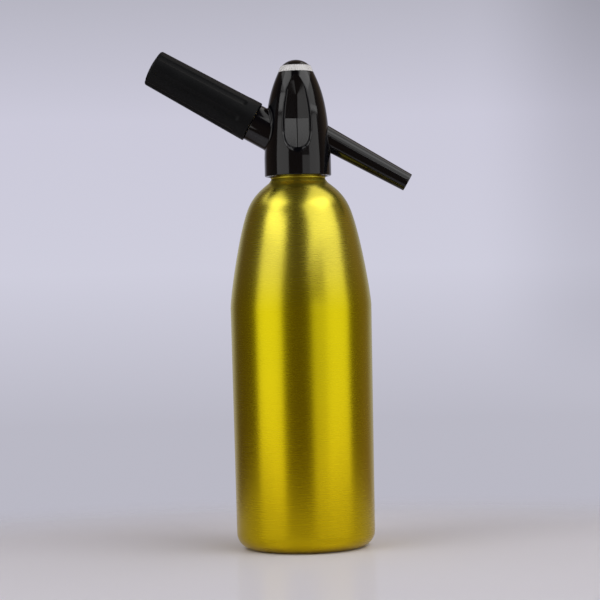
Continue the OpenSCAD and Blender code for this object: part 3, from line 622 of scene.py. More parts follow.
@dataclass
class Bottle:
    """The spun aluminium bottle with its threaded neck.

    The shoulder leaves the side wall at shoulder_z, leans in by lean degrees where it passes turn, and
    comes to top at a slope of slope degrees. Swell, lean_below, lean_above and slope_run are the lengths
    of its guides. The neck's foot curves on from there to foot_r, under the bead.
    """

    low_r: float = 0.0442
    wall: float = 0.0016
    bottom: float = 0.0022
    shoulder_z: float = 0.1535
    swell: float = 0.0083
    turn: Point = (0.03235, 0.2173)
    lean: float = 24.0
    lean_below: float = 0.0145
    lean_above: float = 0.0088
    top: Point = (0.0193, 0.2327)
    slope: float = 38.0
    slope_run: float = 0.006
    foot_round: float = 0.0102
    foot_flat: float = 0.004
    dish: float = 0.005
    neck_r: float = 0.0144
    bore_r: float = 0.0124
    tooth: float = 0.001
    pitch: float = 0.003
    foot_r: float = 0.0172
    foot_lean: float = 28.0
    bead_z: float = 0.2356
    bead_r: float = 0.0176
    bead_h: float = 0.0013
    thread_start: float = 0.2378
    thread_end: float = 0.2472
    thread_fade: float = 0.0006
    thread_rows: int = 110
    columns: int = 256

    def shoulder(self) -> Outline:
        """The curve from the side wall to the foot of the neck.

        Returns:
            Its points, from below.
        """
        side_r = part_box("bottle")[1].x
        turn, top = np.array(self.turn), np.array(self.top)
        lean, slope = math.radians(self.lean), math.radians(self.slope)
        lean_way = np.array([-math.sin(lean), math.cos(lean)])
        slope_way = np.array([-math.cos(slope), math.sin(slope)])
        start = (side_r, self.shoulder_z)
        side = bend(start, (side_r, self.shoulder_z + self.swell), turn - self.lean_below * lean_way, turn)
        crown = bend(turn, turn + self.lean_above * lean_way, top - self.slope_run * slope_way, top)
        return side + crown[1:]

    def neck_foot(self) -> Outline:
        """The hollow curve from the shoulder's top to the bead.

        Returns:
            Its points, from below.
        """
        rise = self.bead_z - self.top[1]
        slope, lean = math.radians(self.slope), math.radians(self.foot_lean)
        guide = (self.top[0] - math.cos(slope) * rise / 3, self.top[1] + math.sin(slope) * rise / 3)
        guide_end = (self.foot_r + math.sin(lean) * rise / 2, self.bead_z - math.cos(lean) * rise / 2)
        return bend(self.top, guide, guide_end, (self.foot_r, self.bead_z), 16)[1:]

    def dished(self, rise: float) -> Outline:
        """The dished bottom from its middle out, raised by so much."""
        reach = self.low_r - self.foot_round - self.foot_flat
        return [(reach * i / 12, rise + self.dish * (1 - (i / 12) ** 2)) for i in range(13)]

    def outside(self) -> Outline:
        """The outline from the middle of the dish to the neck's thread.

        Returns:
            Its points, from below.
        """
        flat_r = self.low_r - self.foot_round
        dish = self.dished(0.0)
        foot = corner((flat_r, self.foot_round), self.foot_round, -90, 0, 24)
        half = self.bead_h / 2
        bead = corner((self.bead_r - half, self.bead_z + half), half, -90, 90, 12)
        run = dish + foot + self.shoulder() + self.neck_foot() + bead
        return fill(run, 0.004) + [(self.neck_r, self.bead_z + self.bead_h)]

    def inside(self) -> Outline:
        """The outline from the rim down to the middle of the bottom.

        Returns:
            Its points, from above.
        """
        curve = np.array(self.shoulder())
        run = np.gradient(curve, axis=0)
        run /= np.linalg.norm(run, axis=1)[:, None]
        inner = curve + self.wall * np.stack([-run[:, 1], run[:, 0]], axis=1)
        inner = [tuple(p) for p in inner[::-1] if p[0] > self.bore_r + 0.001]
        flat_r = self.low_r - self.foot_round
        foot = corner((flat_r, self.foot_round), self.foot_round - self.wall, 0, -90, 12)
        return [(self.bore_r, self.top[1] + self.wall)] + inner + foot + self.dished(self.bottom)[::-1]

    def thread(self, columns: int) -> np.ndarray:
        """The neck's screw thread as rows of radius and height, one pair for every column.

        Args:
            columns: How many columns go round.

        Returns:
            Rows by columns by two.
        """
        rim_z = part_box("bottle")[1].z
        foot_z = self.bead_z + self.bead_h
        heights = np.linspace(foot_z + 0.0003, rim_z - 0.0004, self.thread_rows)[:, None]
        turn = np.arange(columns)[None, :] / columns
        phase = np.abs(((heights / self.pitch - turn) % 1.0) - 0.5) * 2
        tooth = np.clip((phase - 0.3) / 0.5, 0, 1) * self.tooth
        ends = np.clip((heights - self.thread_start) / self.thread_fade, 0, 1)
        ends = ends * np.clip((self.thread_end - heights) / self.thread_fade, 0, 1)
        radius = self.neck_r + tooth * ends
        return np.stack([radius, np.broadcast_to(heights, radius.shape)], axis=-1)

    def build(self) -> None:
        """Builds the bottle and dresses it."""
        rim_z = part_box("bottle")[1].z
        rim = [(self.neck_r - 0.0001, rim_z - 0.0001), (self.neck_r - 0.0004, rim_z)]
        rim += [(self.bore_r + 0.0002, rim_z), (self.bore_r, rim_z - 0.0002)]
        skin = Skin("bottle_shell")
        lower = ring_grid(np.array(self.outside()), self.columns)
        upper = ring_grid(np.array(rim + self.inside()), self.columns)
        neck = ring_grid(self.thread(self.columns), self.columns)
        skin.patch(np.concatenate([lower, neck, upper]), along=False)
        finish_piece(skin.build(50), "bottle", GOLD, "bottle")


@dataclass
class HeadShell:
    """The glossy head: a round body with two leaf-shaped scoops, and the boss of the charger holder.

    A pair is a distance from the head's axis and a height. A leaf runs from leaf_tip through leaf_widest
    to leaf_foot. Its bed has two flanks, which slope by flank degrees to a valley in the middle, and walls
    gives the width of the steep wall round the bed at some heights. Hollow gives the radius of each step
    of the inside, and the height that it reaches down to.
    """

    collar_r: float = 0.02135
    collar_top: float = 0.249
    collar_round: float = 0.0008
    waist: Point = (0.01995, 0.277)
    turn: Point = (0.0186, 0.2886)
    top_r: float = 0.0115
    top_z: float = 0.304
    edge: float = 0.0003
    leaf_tip: float = 0.3022
    leaf_upper: tuple[Point, Point] = ((0.0060, 0.2978), (0.0096, 0.2810))
    leaf_widest: Point = (0.00965, 0.2680)
    leaf_lower: tuple[Point, Point] = ((0.00975, 0.2595), (0.0076, 0.2522))
    leaf_foot: float = 0.2513
    leaf_ends: float = 0.006
    flank: float = 16.5
    valley_half: float = 0.0009
    valley_round: float = 0.0002
    valley_tip_round: float = 0.0021
    tip_from: float = 0.2885
    tip_run: float = 0.009
    valley_top: Point = (0.0119, 0.3030)
    valley_turn: Point = (0.0130, 0.2734)
    valley_lower: tuple[Point, Point] = ((0.01390, 0.2672), (0.01480, 0.2610))
    bed_foot: Point = (0.0157, 0.2548)
    bed_round: float = 0.004
    walls: tuple[Point, ...] = (
        (0.0019, 0.2570), (0.00175, 0.2660), (0.0016, 0.2785), (0.0012, 0.2876), (0.0001, 0.2960),
    )
    soft_edge: float = 0.00003
    hollow: tuple[Point, ...] = ((0.0100, 0.30095), (0.0111, 0.28015), (0.01225, 0.254), (0.01565, 0.251))
    collar_bore: float = 0.01895
    boss_r: float = 0.0122
    boss_end: float = 0.03265
    boss_fillet: float = 0.0010
    flange_r: float = 0.0113
    flange_seat: float = 0.0308
    spigot_r: float = 0.0081
    spigot_foot: float = 0.0200
    nozzle_fillet: float = 0.0004
    leaf_columns: tuple[int, int, int] = (5, 14, 12)
    side_columns: int = 120
    boss_columns: int = 192
    seat_columns: int = 160

    def side(self, heights: np.ndarray) -> np.ndarray:
        """The head's radius, without the scoops.

        Args:
            heights: The heights that it is wanted at.

        Returns:
            One radius for each height.
        """
        curve = np.array(bend((self.collar_r, self.collar_top), self.waist, self.turn,
                              (self.top_r, self.top_z - self.edge), 400))
        return np.interp(heights, curve[:, 1], curve[:, 0], left=self.collar_r)

    def valley(self, heights: np.ndarray) -> np.ndarray:
        """How far the scoop's deepest line lies from the head's axis.

        Args:
            heights: The height of each row.

        Returns:
            One distance for each row.
        """
        line = bend(self.valley_turn, *self.valley_lower, self.bed_foot, 200)[::-1]
        line = np.array(line + [self.valley_top])
        return np.minimum(np.interp(heights, line[:, 1], line[:, 0]), self.side(heights))

    def half_width(self, heights: np.ndarray) -> np.ndarray:
        """Half the leaf's width.

        Args:
            heights: The height of each row.

        Returns:
            One width for each row.
        """
        upper = bend((0, self.leaf_tip), *self.leaf_upper, self.leaf_widest, 200)
        lower = bend(self.leaf_widest, *self.leaf_lower, (0, self.leaf_foot), 200)
        line = np.array((upper + lower[1:])[::-1])
        return np.interp(heights, line[:, 1], line[:, 0], left=0, right=0)

    def rows(self) -> np.ndarray:
        """The heights of the rows of the head's side, closer together at the leaf's ends.

        Returns:
            The heights, from below.
        """
        near = (1 - np.cos(np.linspace(0, math.pi / 2, 30))) * self.leaf_ends
        below = np.linspace(self.collar_top, self.leaf_foot, 5)[:-1]
        middle = np.linspace(self.leaf_foot + self.leaf_ends, self.leaf_tip - self.leaf_ends, 90)[1:-1]
        above = np.linspace(self.leaf_tip, self.top_z - self.edge, 4)[1:]
        return np.concatenate([below, self.leaf_foot + near, middle, (self.leaf_tip - near)[::-1], above])

    def bed_width(self, heights: np.ndarray, half: np.ndarray) -> np.ndarray:
        """Half the width of the leaf's bed, which is what the steep walls leave of the leaf.

        Args:
            heights: The height of each row.
            half: Half the leaf's width in each row.

        Returns:
            One width for each row.
        """
        walls = np.array(self.walls)
        foot = np.clip((heights - self.bed_foot[1]) / self.bed_round, 0, 1)
        return np.maximum(half - np.interp(heights, walls[:, 1], walls[:, 0]), 0) * np.sqrt(foot * (2 - foot))

    def leaf_across(self, half: np.ndarray, bed: np.ndarray) -> np.ndarray:
        """Places across the leaf, closer together in its valley and on its walls.

        Args:
            half: Half the leaf's width in each row.
            bed: Half the bed's width in each row.

        Returns:
            Rows by columns.
        """
        middle, flank, wall = self.leaf_columns
        inner = np.minimum(self.valley_half, bed * 0.25)
        one = np.linspace(0, 1, middle + 1)[:-1]
        two = np.linspace(0, 1, flank + 1)[:-1]
        three = np.linspace(0, 1, wall + 1)
        right = np.concatenate([inner * one, inner + (bed - inner) * two, bed + (half - bed) * three], axis=1)
        return np.concatenate([-right[:, :0:-1], right], axis=1)

    def scoop(self, heights: np.ndarray, half: np.ndarray, bed: np.ndarray, across: np.ndarray) -> np.ndarray:
        """How far the scoop's surface lies in front of the head's axis.

        The two flanks of its bed meet in a shallow valley, and short steep walls lead up to the leaf's edge.

        Args:
            heights: The height of each row.
            half: Half the leaf's width in each row.
            bed: Half the bed's width in each row.
            across: The places across it.

        Returns:
            Rows by columns.
        """
        rounding = np.clip((heights - self.tip_from) / self.tip_run, 0, 1)
        bow = self.valley_round + (self.valley_tip_round - self.valley_round) * rounding
        slope = math.tan(math.radians(self.flank))
        flanks = self.valley(heights) + slope * (np.sqrt(across**2 + bow**2) - self.valley_round)
        surface = np.sqrt(self.side(heights) ** 2 - across**2)
        shut = np.clip((self.bed_foot[1] - heights) / (self.bed_foot[1] - self.leaf_foot), 0, 1)
        share = np.clip((np.abs(across) - bed) / np.maximum(half - bed, 1e-9), 0, 1)
        share = np.where(half > 1e-9, shut + (1 - shut) * share, 1)
        flanks = np.minimum(flanks, surface)
        return flanks + (surface - flanks) * share

    def side_grid(self) -> np.ndarray:
        """The head's side with both scoops.

        Returns:
            Points, rows by columns by three.
        """
        heights = self.rows()[:, None]
        radius, half = self.side(heights), self.half_width(heights)
        soft = np.minimum(self.soft_edge, half / 3)
        bed = self.bed_width(heights, half)
        across = self.leaf_across(half - soft, np.minimum(bed, half - soft))
        leaf = np.stack([across, -self.scoop(heights, half, bed, across), 0 * across + heights], axis=-1)
        start = np.arcsin((half + soft) / radius)
        angle = start + (math.pi - 2 * start) * np.linspace(0, 1, self.side_columns)
        right = np.stack([radius * np.sin(angle), -radius * np.cos(angle), 0 * angle + heights], axis=-1)
        back = leaf * np.array([-1.0, -1.0, 1.0])
        left = right * np.array([-1.0, -1.0, 1.0])
        return np.concatenate([leaf, right, back, left], axis=1)

    def wrap(self, radius: float, height: float, columns: int) -> np.ndarray:
        """One round row with as many columns as the side has.

        Args:
            radius: The row's radius.
            height: Its height.
            columns: How many columns it has.

        Returns:
            Points, columns by three, that start at the front like the side's.
        """
        pinch = np.zeros(2 * sum(self.leaf_columns) + 1)
        run = np.linspace(0, math.pi, self.side_columns)
        angle = np.concatenate([pinch, run, pinch + math.pi, run + math.pi])
        return np.stack([radius * np.sin(angle), -radius * np.cos(angle), np.full(columns, height)], axis=-1)

    def cavity(self) -> Outline:
        """The stepped outline of the head's inside, each step as wide and as deep as hollow says.

        Returns:
            Its points, from the button's bore down to the collar's foot.
        """
        foot_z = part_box("head_shell")[0].z
        made, top, bore = [], self.top_z, self.collar_bore
        for radius, low in self.hollow:
            made += [(radius, top), (radius, low)]
            top = low
        return made + [(bore, top), (bore, foot_z + 0.0002), (bore + 0.0002, foot_z)]

    def body(self, skin: Skin) -> None:
        """Adds the round body.

        Args:
            skin: The surface that it is added to.
        """
        foot_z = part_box("head_shell")[0].z
        side = self.side_grid()
        columns = side.shape[1]
        rounded = corner((self.collar_r - self.collar_round, foot_z + self.collar_round),
                         self.collar_round, -90, 0, 10)
        below = [self.wrap(r, z, columns) for r, z in rounded]
        above = [self.wrap(r, z, columns) for r, z in
                 corner((self.top_r - self.edge, self.top_z - self.edge), self.edge, 0, 90, 4)[1:]]
        inner = [self.wrap(r, z, columns) for r, z in self.cavity()]
        skin.patch(np.concatenate([np.stack(below), side, np.stack(above), np.stack(inner)]))

    def meet(self, place: Matrix, radius: RadiusLaw, columns: int, start: float) -> np.ndarray:
        """Where a round arm comes out of the head, as distances along the arm.

        Args:
            place: The arm's axis.
            radius: The arm's radius by the distance along it.
            columns: How many lines of the arm are followed.
            start: A distance at which every line is outside the head.

        Returns:
            One distance for each line.
        """
        low, high = np.zeros(columns), np.full(columns, start)
        halvings = 44
        for _ in range(halvings):
            middle = (low + high) / 2
            points = self.arm_points(place, radius(middle), middle)
            outside = np.hypot(points[:, 0], points[:, 1]) > self.side(points[:, 2])
            low, high = np.where(outside, low, middle), np.where(outside, middle, high)
        return high

    @staticmethod
    def arm_points(place: Matrix, radius: np.ndarray, along: np.ndarray) -> np.ndarray:
        """Points round an arm, one for each line of it.

        Args:
            place: The arm's axis.
            radius: The radius on each line.
            along: The distance along the arm on each line.

        Returns:
            Points, lines by three.
        """
        angle = np.arange(len(along)) * FULL_TURN / len(along)
        local = np.stack([radius * np.cos(angle), radius * np.sin(angle), along], axis=-1)
        return placed(local, place)

    def fillet(
        self, place: Matrix, radius: RadiusLaw, size: float, columns: int, start: float
    ) -> list[np.ndarray]:
        """The rounded joint between the head and an arm.

        Args:
            place: The arm's axis.
            radius: The arm's radius by the distance along it.
            size: The rounding's size.
            columns: How many columns go round.
            start: A distance at which every line is outside the head.

        Returns:
            Rows of points, from inside the head out onto the arm.
        """
        met = self.meet(place, radius, columns, start)
        joined = self.arm_points(place, radius(met), met)
        on_arm = self.arm_points(place, radius(met + size), met + size)
        aside = self.arm_points(place, radius(met) + size, met)
        reach = self.side(aside[:, 2]) / np.hypot(aside[:, 0], aside[:, 1])
        on_head = aside * np.stack([reach, reach, np.ones_like(reach)], axis=1)
        sunk = self.arm_points(place, radius(met) - 0.001, met - 0.004)
        share = np.linspace(0, 1, 9)
        rows = [on_head * (1 - s) ** 2 + joined * 2 * s * (1 - s) + on_arm * s**2 for s in share]
        hidden = 0.005
        return [sunk, rows[0] * (1 - hidden) + sunk * hidden] + rows[1:]

    def boss(self, skin: Skin) -> None:
        """Adds the boss that the charger spigot sits in.

        Args:
            skin: The surface that it is added to.
        """
        columns, end = self.boss_columns, self.boss_end
        rows = self.fillet(HOLDER_AXIS, lambda t: 0 * t + self.boss_r, self.boss_fillet, columns, end)
        ends = [(self.boss_r, end - 0.0006), (self.boss_r - 0.0001, end - 0.0002),
                (self.boss_r - 0.0003, end), (self.flange_r, end), (self.flange_r, self.flange_seat),
                (self.spigot_r, self.flange_seat), (self.spigot_r, self.spigot_foot)]
        for radius, along in ends:
            rows.append(self.arm_points(HOLDER_AXIS, np.full(columns, radius), np.full(columns, along)))
        skin.patch(np.stack(rows))

    def nozzle_seat(self, skin: Skin, nozzle: "Nozzle") -> None:
        """Adds the low lip round the nozzle's root.

        Args:
            skin: The surface that it is added to.
            nozzle: The nozzle.
        """
        root, clear = 0.02, 0.05
        rows = self.fillet(NOZZLE_AXIS, nozzle.radius, self.nozzle_fillet, self.seat_columns, clear)
        along = np.full(self.seat_columns, root)
        rows.append(self.arm_points(NOZZLE_AXIS, nozzle.radius(along) - 0.001, along - 0.004))
        skin.patch(np.stack(rows))

    def build(self, nozzle: "Nozzle") -> None:
        """Builds the head and dresses it.

        Args:
            nozzle: The nozzle that leans out of it.
        """
        skin = Skin("head_body")
        self.body(skin)
        self.boss(skin)
        self.nozzle_seat(skin, nozzle)
        finish_piece(skin.build(50), "head", GLOSS, "head_shell")


@dataclass
class Nozzle:
    """The long pouring nozzle that plugs into the head."""

    root_r: float = 0.0076
    tip_r: float = 0.0059
    start: float = 0.0186
    end: float = 0.081
    tip_round: float = 0.0004
    mouth_r: float = 0.0036
    bore_r: float = 0.0019
    flare: float = 0.024
    spigot_r: float = 0.0039
    spigot_start: float = 0.0085

    def radius(self, along: np.ndarray) -> np.ndarray:
        """The cone's radius at a distance along it."""
        share = (along - self.start) / (self.end - self.start)
        return self.root_r + (self.tip_r - self.root_r) * share

    def build(self) -> None:
        """Builds the nozzle and dresses it."""
        tip = corner((self.tip_r - self.tip_round, self.end - self.tip_round), self.tip_round, 0, 90, 6)
        mouth = corner((self.mouth_r + 0.0003, self.end - 0.0003), 0.0003, 90, 180, 4)
        outline = [(self.spigot_r, self.spigot_start), (self.spigot_r, self.start)]
        outline += fill([(self.root_r, self.start)] + tip, 0.004) + mouth
        outline += fill([(self.mouth_r, self.end - 0.001), (self.bore_r, self.end - self.flare),
                         (self.bore_r, self.spigot_start)], 0.004)
        skin = Skin("nozzle_cone")
        skin.turn(outline, 160, NOZZLE_AXIS)
        finish_piece(skin.build(), "head", GLOSS, "nozzle")


@dataclass
class RingNut:
    """The white ring that the button slides in, with fine grip grooves.

    A groove takes up groove_share of its room round the ring, and is foot_share as deep at the ring's foot.
    """

    foot_r: float = 0.0112
    top_r: float = 0.0098
    foot_h: float = 0.0004
    bore_r: float = 0.00905
    thread_r: float = 0.0098
    grooves: int = 40
    groove_depth: float = 0.00028
    groove_share: float = 0.34
    foot_share: float = 0.4
    round: float = 0.0003
    per_groove: int = 14

    def build(self) -> None:
        """Builds the ring and dresses it."""
        low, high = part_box("ring_nut")
        seat = HeadShell.top_z
        slant = fill([(self.foot_r, seat + self.foot_h), (self.top_r, high.z - self.round)], 0.0003)
        crown = corner((self.top_r - self.round, high.z - self.round), self.round, 0, 90, 5)
        outline = [(self.thread_r, low.z), (self.thread_r, seat), (self.foot_r, seat)] + slant + crown[1:]
        outline += [(self.bore_r + 0.0001, high.z), (self.bore_r, high.z - 0.0001), (self.bore_r, low.z)]
        columns = self.grooves * self.per_groove
        rows = np.repeat(np.array(outline)[:, None, :], columns, axis=1)
        place = (np.arange(columns) / self.per_groove) % 1.0
        dip = np.clip(1 - (np.abs(place - 0.5) / (self.groove_share / 2)) ** 2, 0, 1) ** 0.5
        first = outline.index(slant[0])
        depth = np.zeros(len(outline))
        depth[first: first + len(slant) + 1] = self.groove_depth
        depth[first] *= self.foot_share
        rows[..., 0] -= depth[:, None] * dip[None, :]
        skin = Skin("grip_ring")
        skin.patch(ring_grid(rows, columns))
        finish_piece(skin.build(48), "head", WHITE, "ring_nut")


@dataclass
class PushButton:
    """The domed button that the thumb presses."""

    radius: float = 0.00898
    dome_r: float = 0.0123
    dome_z: float = 0.3081
    edge: float = 0.00025
    bevel: float = 0.0002
    wall: float = 0.0014
    boss_r: float = 0.0032
    stem_r: float = 0.00155
    stem_end: float = 0.3072

    def build(self) -> None:
        """Builds the button and dresses it."""
        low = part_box("push_button")[0].z
        drop = math.sqrt(self.dome_r**2 - self.radius**2)
        start = math.degrees(math.atan2(drop, self.radius - self.edge))
        dome = corner((0, self.dome_z - drop), self.dome_r, start, 90, 30)
        side = [(self.radius - self.bevel, low), (self.radius, low + self.bevel),
                (self.radius, self.dome_z - self.edge)]
        roof = self.dome_z + 0.0002
        under = [(0, self.stem_end), (self.stem_r, self.stem_end), (self.stem_r, low), (self.boss_r, low),
                 (self.boss_r, roof), (self.radius - self.wall, roof), (self.radius - self.wall, low)]
        skin = Skin("thumb_button")
        skin.turn(side + dome + under, 160)
        finish_piece(skin.build(), "button", GLOSS, "push_button")


@dataclass
class ChargerHolder:
    """The fluted grip that holds the gas charger.

    Each flute starts in a half ball, a plain band away from the rim, and fades out on the end before it
    comes to plain_r. The first lies phase degrees round.
    """

    start: float = 0.0328
    end: float = 0.1068
    rim_r: float = 0.0133
    end_r: float = 0.012
    rim_round: float = 0.0005
    corner_round: float = 0.0016
    dome: float = 0.0012
    band: float = 0.008
    flutes: int = 7
    flute_r: float = 0.004
    flute_depth: float = 0.00075
    flute_soft: float = 0.00006
    plain_r: float = 0.004
    phase: float = -53.4
    per_flute: int = 60
    bore_r: float = 0.0097
    root_r: float = 0.0116
    crest_r: float = 0.0109
    bore_end: float = 0.10425
    thread_start: float = 0.038
    thread_end: float = 0.044
    pitch: float = 0.002
    rings: int = 3

    def outside(self) -> Outline:
        """The outline from the rim to the middle of the end.

        Returns:
            Radius and distance along the axis of each point.
        """
        rim = corner((self.rim_r - self.rim_round, self.start + self.rim_round), self.rim_round, -90, 0, 6)
        dome_r = self.end_r - self.corner_round
        top = self.end - self.dome
        slope = math.degrees(math.atan(2 * self.dome / dome_r))
        edge = corner((dome_r, top - self.corner_round), self.corner_round, 1, 90 - slope, 12)
        middle = [(dome_r * i / 12, self.end - self.dome * (i / 12) ** 2) for i in range(11, -1, -1)]
        return fill(rim + edge, 0.0007) + middle

    def fluted(self, outline: np.ndarray, columns: int) -> np.ndarray:
        """The outline with its flutes, one pair of radius and distance for every column.

        Args:
            outline: Radius and distance along the axis.
            columns: How many columns go round.

        Returns:
            Rows by columns by two.
        """
        radius, along = outline[:, :1], outline[:, 1:]
        turn = np.arange(columns) * FULL_TURN / columns - math.radians(self.phase)
        pitch = FULL_TURN / self.flutes
        across = np.abs((turn + pitch / 2) % pitch - pitch / 2) * self.rim_r
        run = math.sqrt(2 * self.flute_r * self.flute_depth - self.flute_depth**2)
        ball = self.start + self.band + run
        before = np.clip(ball - along, 0, None)
        reach = np.hypot(across, before)
        dip = np.sqrt(np.clip(self.flute_r**2 - reach**2, 0, None)) - (self.flute_r - self.flute_depth)
        dip = (dip + np.sqrt(dip**2 + self.flute_soft**2)) / 2
        keep = np.clip((radius - self.plain_r) / self.plain_r, 0, 1)
        return np.stack([radius - dip * keep, along + 0 * dip], axis=-1)

    def inside(self) -> Outline:
        """The outline of the bore, with its thread as rings.

        Returns:
            Radius and distance along the axis of each point, from the bore's end to the rim.
        """
        made = [(0, self.bore_end), (self.bore_r, self.bore_end), (self.bore_r, self.thread_end + 0.002),
                (self.root_r, self.thread_end + 0.001)]
        for ring in reversed(range(self.rings)):
            low = self.thread_start + ring * self.pitch
            made += [(self.root_r, low + self.pitch * 0.85), (self.crest_r, low + self.pitch * 0.6),
                     (self.crest_r, low + self.pitch * 0.4), (self.root_r, low + self.pitch * 0.15)]
        return made + [(self.root_r, self.start)]

    def build(self) -> None:
        """Builds the holder and dresses it."""
        columns = self.flutes * self.per_flute
        outer = self.fluted(np.array(self.outside()), columns)
        rows = np.repeat(np.array(self.inside())[:, None, :], columns, axis=1)
        skin = Skin("holder_grip")
        skin.patch(placed(ring_grid(np.concatenate([outer, rows]), columns), HOLDER_AXIS))
        finish_piece(skin.build(), "holder", SATIN, "charger_holder")


@dataclass
class InnerWorks:
    """The pieces inside the siphon, which keep their CAD shapes."""

    press: float = 0.0035

    def squeeze_spring(self) -> None:
        """Gives the button's spring its own copy of its mesh."""
        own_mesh(frame["nodes"]["button_spring"])

    def build(self) -> None:
        """Dresses the pieces."""
        finishes = {
            "measuring_tube": PALE, "dip_tube": PALE, "neck_gasket": BLACK_RUBBER,
            "neck_insert": BRASS, "valve_block": BRASS, "gland_nut": BRASS, "tube_nut": BRASS,
            "charger_spigot": BRASS, "button_spring": STEEL, "valve_stem": STEEL,
            "piercing_pin": STEEL, "gas_charger": CHARGER_STEEL, "charger_pad": SATIN,
            "valve_washer": BLACK_RUBBER, "stem_oring": BLACK_RUBBER, "tube_gasket": BLACK_RUBBER,
            "nozzle_oring": BLACK_RUBBER, "spigot_oring": BLACK_RUBBER,
            "charger_gasket": BLACK_RUBBER, "check_valve": RED_RUBBER,
        }
        for node, finish in finishes.items():
            dress_node(node, finish)
        self.squeeze_spring()


# The studio


@dataclass(frozen=True)
class Softbox:
    """One flat lamp that faces the object, placed by the directions that it fills, in degrees.

    They are seen from the object's axis, at the height that aim gives.
    """

    name: str
    turns: Span
    rises: Span
    level: float
    distance: float = 1.1
    aim: float = 0.27

    def build(self) -> None:
        """Hangs the lamp."""
        turn, rise = math.radians(sum(self.turns) / 2), math.radians(sum(self.rises) / 2)
        half_turn = math.radians(abs(self.turns[1] - self.turns[0]) / 2)
        half_rise = math.radians(abs(self.rises[1] - self.rises[0]) / 2)
        width = 2 * self.distance * math.cos(rise) * math.tan(half_turn)
        height = 2 * self.distance * math.tan(half_rise)
        way = Vector((math.sin(turn) * math.cos(rise), -math.cos(turn) * math.cos(rise), math.sin(rise)))
        place = Vector((0, 0, self.aim)) + way * self.distance
        hang_lamp(self.name, place, way.to_track_quat("Z", "Y").to_euler(), (width, height), self.level)


@dataclass(frozen=True)
class Canopy:
    """One flat lamp that hangs level over the object."""

    name: str
    x: Span
    y: Span
    z: float
    level: float

    def build(self) -> None:
        """Hangs the lamp."""
        place = Vector((sum(self.x) / 2, sum(self.y) / 2, self.z))
        hang_lamp(self.name, place, (0, 0, 0), (self.x[1] - self.x[0], self.y[1] - self.y[0]), self.level)


def hang_lamp(name: str, place: Vector, turn: Union[Euler, tuple], size: Span, level: float) -> None:
    """Makes a rectangular lamp of even brightness that the camera doesn't see.

    Args:
        name: Its name.
        place: Its middle.
        turn: Its rotation.
        size: Its width and height.
        level: Its brightness, where 1 is that of a white surface in full light.
    """
    lamp = bpy.data.lights.new(name, "AREA")
    lamp.shape = "RECTANGLE"
    lamp.size, lamp.size_y = size
    lamp.energy = level * math.pi * size[0] * size[1]
    made = bpy.data.objects.new(name, lamp)
    made.location, made.rotation_euler = place, turn
    made.visible_camera = False
    bpy.context.scene.collection.objects.link(made)


